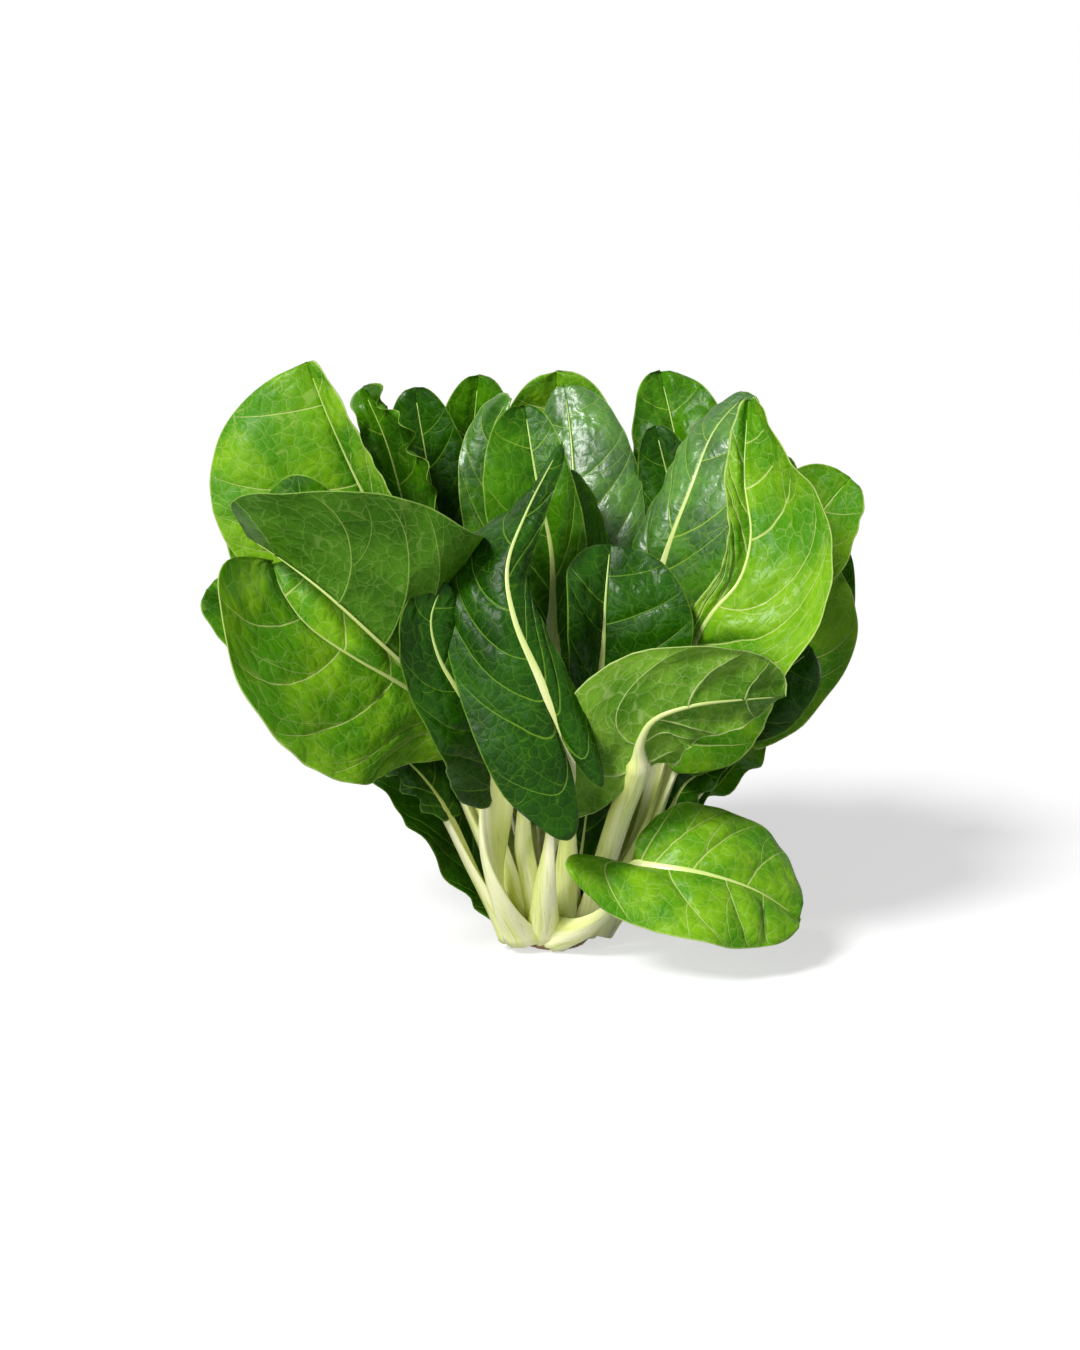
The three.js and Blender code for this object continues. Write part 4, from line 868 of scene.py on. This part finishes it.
def side_veins(tree, out, number, band, strength, grain):
    """Where the side veins are: 1 on a vein, 0 beside it, less towards the edge of the blade.

    A vein runs where the number is whole. In each band between two of them, a fork leaves one of
    them and thins out on its way across.
    """
    left = add(tree, "Math", (1.0, out), operation="SUBTRACT")
    width = add(tree, "Math", (left, 0.6), operation="POWER")
    width = add(tree, "Math", (width, strength), operation="MULTIPLY")
    width = add(tree, "Math", (width, VEIN_HALF_WIDTH, FINEST_VEIN), operation="MULTIPLY_ADD")
    part = add(tree, "Math", [number], operation="FRACT")
    rest = add(tree, "Math", (1.0, part), operation="SUBTRACT")
    near = add(tree, "Math", (part, rest), operation="MINIMUM")
    away = add(tree, "Math", (near, band), operation="MULTIPLY")
    away = add(tree, "Math", (away, width), operation="DIVIDE")
    vein = add(tree, "MapRange", (away, 1.2, 0.5), **FADE)

    band_number = add(tree, "Math", [number], operation="FLOOR")
    chance = add(tree, "CombineXYZ", (band_number, grain))
    chance = add(tree, "TexWhiteNoise", [chance]).outputs["Color"]
    chance = add(tree, "SeparateColor", [chance]).outputs
    begin = add(tree, "Math", (chance[0], 0.6, 0.15), operation="MULTIPLY_ADD")
    gone = add(tree, "Math", (out, begin), operation="SUBTRACT")
    gone = add(tree, "Math", (gone, 0.0), operation="MAXIMUM")
    spread = add(tree, "Math", (gone, 0.8), operation="POWER")
    spread = add(tree, "Math", (spread, 0.9), operation="MULTIPLY")
    swap = add(tree, "Math", (chance[1], 0.5), operation="GREATER_THAN")
    from_vein = add(tree, "Mix", {0: swap, 2: part, 3: rest}, data_type="FLOAT")
    away = add(tree, "Math", (from_vein, spread), operation="SUBTRACT")
    away = add(tree, "Math", [away], operation="ABSOLUTE")
    away = add(tree, "Math", (away, band), operation="MULTIPLY")
    away = add(tree, "Math", (away, width), operation="DIVIDE")
    fork = add(tree, "MapRange", (away, 0.9, 0.3, 0.0, 0.6), **FADE)
    begun = add(tree, "MapRange", (gone, 0.0, 0.02), **FADE)
    fork = add(tree, "Math", (fork, begun), operation="MULTIPLY")

    both = add(tree, "Math", (vein, fork), operation="MAXIMUM")
    by_edge = add(tree, "MapRange", (out, 1.0, 0.8, 0.45, 1.0), **FADE)
    return add(tree, "Math", (both, by_edge), operation="MULTIPLY")


def blade_material(name, body, dark, vein, gloss, shine_through, underside=False, shine=0.15):
    """Chard leaf: waxy green skin on soft blisters, netted with fine veins that are paler than it.

    The eye gets broad soft highlights broken up by the blisters, a fine polygonal net, side veins
    that fork and thin into that net, a thin pale line along the edge, and light that glows through.
    The dips where the blisters meet are painted darker, as painted shade.
    On the underside the veins and the net stand out instead of sinking in.
    """
    material, tree = new_material(name)
    flat, places = vertex_values(tree, "flat")
    edge, blister, strength = vertex_values(tree, "marks")[1]
    number, out, band = vertex_values(tree, "veins")[1]
    vein_line = side_veins(tree, out, number, band, strength, places["Z"])

    bend = {"Vector": flat, "Scale": 1 / NET_BEND, "Detail": 2.0}
    bend = add(tree, "TexNoise", bend).outputs["Color"]
    stray = (NET_STRAY, NET_STRAY, 0)
    shifted = add(tree, "VectorMath", (bend, stray, flat), operation="MULTIPLY_ADD")
    net, fine = (
        add(tree, "TexVoronoi", {"Vector": shifted.outputs[0], "Scale": 1 / cell}, **CELLS)
        for cell in (NET_CELL, FINE_CELL)
    )
    patch, mottle = (
        add(tree, "TexNoise", {"Vector": flat, "Scale": 1 / size, "Detail": 3.0})
        for size in (PATCH, MOTTLE)
    )
    net_line = add(tree, "MapRange", (net, 0.04, 0.008, 0.0, 0.3), **FADE)
    fine_line = add(tree, "MapRange", (fine, 0.1, 0.0, 0.0, 0.1), **FADE)
    coats = (
        (add(tree, "MapRange", (patch, 0.35, 0.65), **FADE), dark),
        # Painted shade: the blade darkens in the dips where its blisters meet.
        (add(tree, "MapRange", (blister, 0.5, 0.0, 0.0, 0.3), **FADE), dark),
        (add(tree, "MapRange", (mottle, 0.45, 0.75, 0.0, 0.25), **FADE), dark),
        (add(tree, "Math", (net_line, fine_line), operation="MAXIMUM"), vein),
        (add(tree, "Math", (vein_line, 0.85), operation="MULTIPLY"), vein),
        (add(tree, "MapRange", (edge, 0.9, 0.35, 0.0, 0.8), **FADE), vein),
    )
    colour = paint(tree, srgb(body), coats)

    cushion = add(tree, "MapRange", (net, 0.0, 0.45), **FADE)
    small = add(tree, "MapRange", (fine, 0.0, 0.3), **FADE)
    relief = add(tree, "Math", (small, 0.1, cushion), operation="MULTIPLY_ADD")
    relief = add(tree, "Math", (relief, vein_line), operation="SUBTRACT")
    relief = {"Strength": 0.6, "Distance": 0.5 * MM, "Height": relief}
    bump = add(tree, "Bump", relief, invert=underside)
    rough = add(tree, "MapRange", (patch, 0.3, 0.7, gloss - 0.05, gloss + 0.07), **FADE)
    finish = {"Base Color": colour, "Roughness": rough, "Normal": bump, "Specular IOR Level": shine}
    skin = add(tree, "BsdfPrincipled", finish)
    glow = paint(tree, colour, [(0.6, "#A4D61C")])
    through = add(tree, "BsdfTranslucent", {"Color": glow, "Normal": bump})
    both = add(tree, "MixShader", (shine_through, skin, through))
    add(tree, "OutputMaterial", [both])
    return material


def stalk_material():
    """Chard stalk: crisp, wet-looking flesh that grew ribbed, cream to pale yellow-green.

    The eye gets long streaks along its ridges, wet gloss, a greener midrib, and a foot that is
    stained brown where it was cut.
    """
    material, tree = new_material("Chard stalk, pale ribbed flesh")
    flat, places = vertex_values(tree, "flat")
    b = vertex_values(tree, "marks")[1]["Y"]
    # Streaks are twenty times as long as they are wide.
    drawn = add(tree, "VectorMath", (flat, (1, 0.05, 1)), operation="MULTIPLY").outputs[0]
    streak = add(tree, "TexNoise", {"Vector": drawn, "Scale": 1 / STALK_STREAK, "Detail": 4.0})
    patch = add(tree, "TexNoise", {"Vector": drawn, "Scale": 1 / STALK_PATCH, "Detail": 2.0})
    speck = add(tree, "TexNoise", {"Vector": flat, "Scale": 1 / STALK_SPECK, "Detail": 2.0})
    coats = (
        (add(tree, "MapRange", (patch, 0.35, 0.65), **FADE), "#E2EA8C"),
        (add(tree, "MapRange", (streak, 0.5, 0.7, 0.0, 0.6), **FADE), "#C2D258"),
        (add(tree, "MapRange", (b, 0.0, 0.35, 0.0, 0.85), **FADE), "#C3D479"),
        (add(tree, "MapRange", (b, 0.4, 1.0, 0.0, 0.8), **FADE), "#9FBE55"),
        (add(tree, "MapRange", (places["Y"], -3.5, -8.0, 0.0, 0.9), **FADE), "#A67F52"),
    )
    colour = paint(tree, srgb("#F5F5C6"), coats)
    fine = add(tree, "Math", (speck, 0.3), operation="MULTIPLY")
    relief = add(tree, "Math", (streak, fine), operation="ADD")
    bump = add(tree, "Bump", {"Strength": 0.45, "Distance": 0.5 * MM, "Height": relief})
    rough = add(tree, "MapRange", (streak, 0.3, 0.7, 0.26, 0.42), **FADE)
    flesh = add(tree, "BsdfPrincipled", {"Base Color": colour, "Roughness": rough, "Normal": bump})
    add(tree, "OutputMaterial", [flesh])
    return material


def crown_material():
    """Chard crown: pale leaf bases grown together, sliced through with a knife.

    The eye gets dull pale flesh, and below it a dry, tan, corky cut with the paler outlines of the
    leaf bases in it.
    """
    material, tree = new_material("Chard crown, pale flesh and dried cut")
    flat, places = vertex_values(tree, "flat")
    cork = add(tree, "TexNoise", {"Vector": flat, "Scale": 1 / CORK_GRAIN, "Detail": 5.0})
    base = add(tree, "TexVoronoi", {"Vector": flat, "Scale": 1 / LEAF_BASE}, **CELLS)
    grain = add(tree, "MapRange", (cork, 0.4, 0.65), **FADE)
    pale = paint(tree, srgb("#D9D6A6"), [(grain, "#B79E6E")])
    grain = add(tree, "MapRange", (cork, 0.35, 0.65), **FADE)
    seam = add(tree, "MapRange", (base, 0.12, 0.0, 0.0, 0.6), **FADE)
    cut = paint(tree, srgb("#B98E58"), [(grain, "#8A6038"), (seam, "#D8C79C")])
    low_down = add(tree, "MapRange", (places["Z"], 7.0, 4.0), **FADE)
    colour = add(tree, "Mix", {0: low_down, 6: pale, 7: cut}, **COLOURS).outputs[2]
    bump = add(tree, "Bump", {"Strength": 0.7, "Distance": 1 * MM, "Height": cork})
    flesh = add(tree, "BsdfPrincipled", {"Base Color": colour, "Roughness": 0.6, "Normal": bump})
    add(tree, "OutputMaterial", [flesh])
    return material


STALK = stalk_material()
# For each tone: the upper and the lower skin. The light and deep tones are partly the leaves' own
# lighter and darker greens and partly painted light and shade, given to leaves that should look lit or
# lie in shadow.
TONES = {
    "light": (
        blade_material("Chard leaf, light green and painted light, upper", "#8AC018", "#4C9406", "#CDE080", 0.32, 0.3),
        blade_material("Chard leaf, light green and painted light, under", "#7DAC2E", "#4F8412", "#D2E494", 0.5, 0.3, True),
    ),
    "mid": (
        blade_material("Chard leaf, mid green, upper", "#4B8C03", "#215A02", "#92BA3E", 0.32, 0.25),
        blade_material("Chard leaf, mid green, under", "#528818", "#356808", "#A2C45E", 0.5, 0.25, True),
    ),
    "deep": (
        blade_material("Chard leaf, dark green and painted shade, upper", "#235A02", "#123C01", "#6B9629", 0.32, 0.2),
        blade_material("Chard leaf, dark green and painted shade, under", "#447812", "#285A08", "#8FB34C", 0.5, 0.2, True),
    ),
}
WAXED = blade_material(
    "Chard leaf, waxed, upper", "#4B8C03", "#215A02", "#92BA3E", 0.36, 0.2, shine=0.95
)


def place(name, data):
    """Puts a mesh, a lamp or a camera in the scene as an object."""
    piece = bpy.data.objects.new(name, data)
    bpy.context.collection.objects.link(piece)
    return piece


def make_object(name, shells, materials):
    """One object from closed shells: points in millimetres, faces, their materials, vertex values."""
    points = np.concatenate([shell.points for shell in shells])
    faces = []
    slots = []
    start = 0
    for shell in shells:
        for group, slot in zip(shell.faces, shell.slots):
            faces += (group + start).tolist()
            slots += [slot] * len(group)
        start += len(shell.points)
    mesh = bpy.data.meshes.new(name)
    mesh.from_pydata(((points + OFFSET) * MM).tolist(), [], faces)
    for material in materials:
        mesh.materials.append(material)
    mesh.polygons.foreach_set("material_index", slots)
    for kind in shells[0].values:
        values = np.concatenate([shell.values[kind] for shell in shells])
        layer = mesh.attributes.new(kind, "FLOAT_VECTOR", "POINT")
        layer.data.foreach_set("vector", values.astype(np.float32).ravel())
    mesh.shade_smooth()
    mesh.validate()
    piece = place(name, mesh)
    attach(piece, "root")
    return piece


def with_ends(rings):
    """A bar's vertices, or the values kept at them, ring by ring, and then the middle of each end."""
    return np.concatenate([rings.reshape(-1, 3), rings[[0, -1]].mean(1)])


def make_leaf(name, leaf, seed):
    rng = np.random.default_rng(seed)
    line = leaf_frame(leaf)
    shells = []
    for side in (0, 1):
        upper, lower, values = half_blade(leaf, line, side, rng)
        points = np.concatenate([upper.reshape(-1, 3), lower.reshape(-1, 3)])
        values = {kind: np.tile(v.reshape(-1, 3), (2, 1)) for kind, v in values.items()}
        faces = close_sheet(*upper.shape[:2], flip=side == 0)
        shells.append(SimpleNamespace(points=points, faces=faces, slots=(0, 1, 0), values=values))
    ring, values = rib(leaf, line, rng)
    points = with_ends(ring)
    points[:, 2] = np.maximum(points[:, 2], FLOOR_GAP)
    values = {kind: with_ends(v) for kind, v in values.items()}
    faces = close_bar(*ring.shape[:2])
    shells.append(SimpleNamespace(points=points, faces=faces, slots=(2, 2), values=values))
    for shell in shells:
        shell.values["flat"] += (0, 0, seed * GRAIN_SHIFT)
    upper, under = TONES[leaf.tone]
    piece = make_object("chard_" + name, shells, [WAXED if leaf.waxed else upper, under, STALK])
    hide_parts(name)


def make_crown():
    """The cut crown: leaf bases grown together into a short, lobed bulb, sliced off flat below."""
    turn = np.linspace(0, 2 * math.pi, 120, endpoint=False)[None, :]
    # Radius and height of each ring, from the middle of the cut face up and over to the top.
    profile = (
        (4, 0.9), (9, 0.6), (12, 0.5), (15, 0.2), (17, 0), (18.5, 0.8), (20, 2.5), (21, 4.5),
        (20.5, 7), (19, 12), (16, 16), (12, 19), (7, 20),
    )
    radius, height = (column[:, None] for column in np.array(profile).T)
    lobes = 1 + np.minimum(height / 6, 1) * 0.05 * np.cos(7 * turn + 0.6 * np.sin(2 * turn))
    rough = 0.25 * np.sin(13 * turn + radius) * np.sin(5 * turn - 2 * radius) * (radius < 20)
    x = CROWN_OFFSET + radius * lobes * np.cos(turn)
    y = radius * lobes * np.sin(turn)
    ring = np.stack(np.broadcast_arrays(x, y, np.maximum(0, height + rough)), 2)
    points = with_ends(ring)
    faces = close_bar(*ring.shape[:2])
    shell = SimpleNamespace(points=points, faces=faces, slots=(0, 0), values={"flat": points})
    piece = make_object("chard_crown", [shell], [crown_material()])
    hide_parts("crown")


def stand(name, data, direction, distance, target):
    """Places a lamp or the camera at a distance from the target and aims it there."""
    holder = place(name, data)
    holder.location = target + Vector(direction).normalized() * distance
    holder.rotation_euler = (target - holder.location).to_track_quat("-Z", "Y").to_euler()
    return holder


def add_lamp(name, kind, direction, distance, target, **settings):
    lamp = bpy.data.lights.new(name, kind)
    for setting, value in settings.items():
        setattr(lamp, setting, value)
    stand(name, lamp, direction, distance, target)


def seen_directly(tree):
    """1 for what the camera sees, straight or in a shiny or clear surface, and 0 for all other light."""
    rays = add(tree, "LightPath").outputs
    mirrored = (rays["Is Glossy Ray"], rays["Is Transmission Ray"])
    shiny = add(tree, "Math", mirrored, operation="MAXIMUM")
    return add(tree, "Math", (rays["Is Camera Ray"], shiny), operation="MAXIMUM")


def make_stage(target):
    """White floor that keeps the shadow, white surroundings, sun, softbox and the camera."""
    # Matt card throws back half of the light that falls on it. It glows only where it is seen,
    # straight or in a shiny surface, so that it shows white and keeps the shadow.
    material, tree = new_material("Studio floor, matt card")
    card = add(tree, "BsdfDiffuse", [srgb("#BCBCBC")])
    strength = add(tree, "Math", (seen_directly(tree), 0.62), operation="MULTIPLY")
    own = add(tree, "Emission", (srgb("#FFFFFF"), strength))
    add(tree, "OutputMaterial", [add(tree, "AddShader", (card, own))])
    mesh = bpy.data.meshes.new("floor")
    corners = [(-4, -4, 0), (4, -4, 0), (4, 4, 0), (-4, 4, 0)]
    mesh.from_pydata(corners, [], [(0, 1, 2, 3)])
    mesh.materials.append(material)
    place("floor", mesh)

    world = bpy.data.worlds.new("Studio")
    world.use_nodes = True
    tree = world.node_tree
    tree.nodes.clear()
    strength = add(tree, "Math", (seen_directly(tree), SKY), operation="MAXIMUM")
    add(tree, "OutputWorld", [add(tree, "Background", (srgb("#FFFFFF"), strength))])
    bpy.context.scene.world = world

    sun = dict(energy=SUN * math.pi, angle=math.radians(SUN_WIDTH))
    add_lamp("Sun", "SUN", SUN_DIRECTION, SUN_DISTANCE, target, **sun)
    box = dict(energy=SOFTBOX * (SOFTBOX_DISTANCE * math.pi) ** 2, size=SOFTBOX_SIZE)
    add_lamp("Softbox", "AREA", SOFTBOX_DIRECTION, SOFTBOX_DISTANCE, target, **box)

    camera = bpy.data.cameras.new("Camera")
    camera.lens = LENS
    camera.sensor_width = SENSOR_WIDTH
    rise = math.radians(CAMERA_RISE)
    ahead = (0, -math.cos(rise), math.sin(rise))
    bpy.context.scene.camera = stand("Camera", camera, ahead, CAMERA_DISTANCE, target)


low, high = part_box("crown")
middle = (low + high) / 2 / MM
OFFSET = np.array([middle.x - CROWN_OFFSET, middle.y, 0])

for seed, (name, values) in enumerate(LEAVES.items()):
    make_leaf(name, SimpleNamespace(**{**USUAL, **values}), seed)
make_crown()
make_stage((Vector(VIEW_MIDDLE) + Vector(OFFSET)) * MM)
bpy.context.scene.view_settings.view_transform = "Standard"
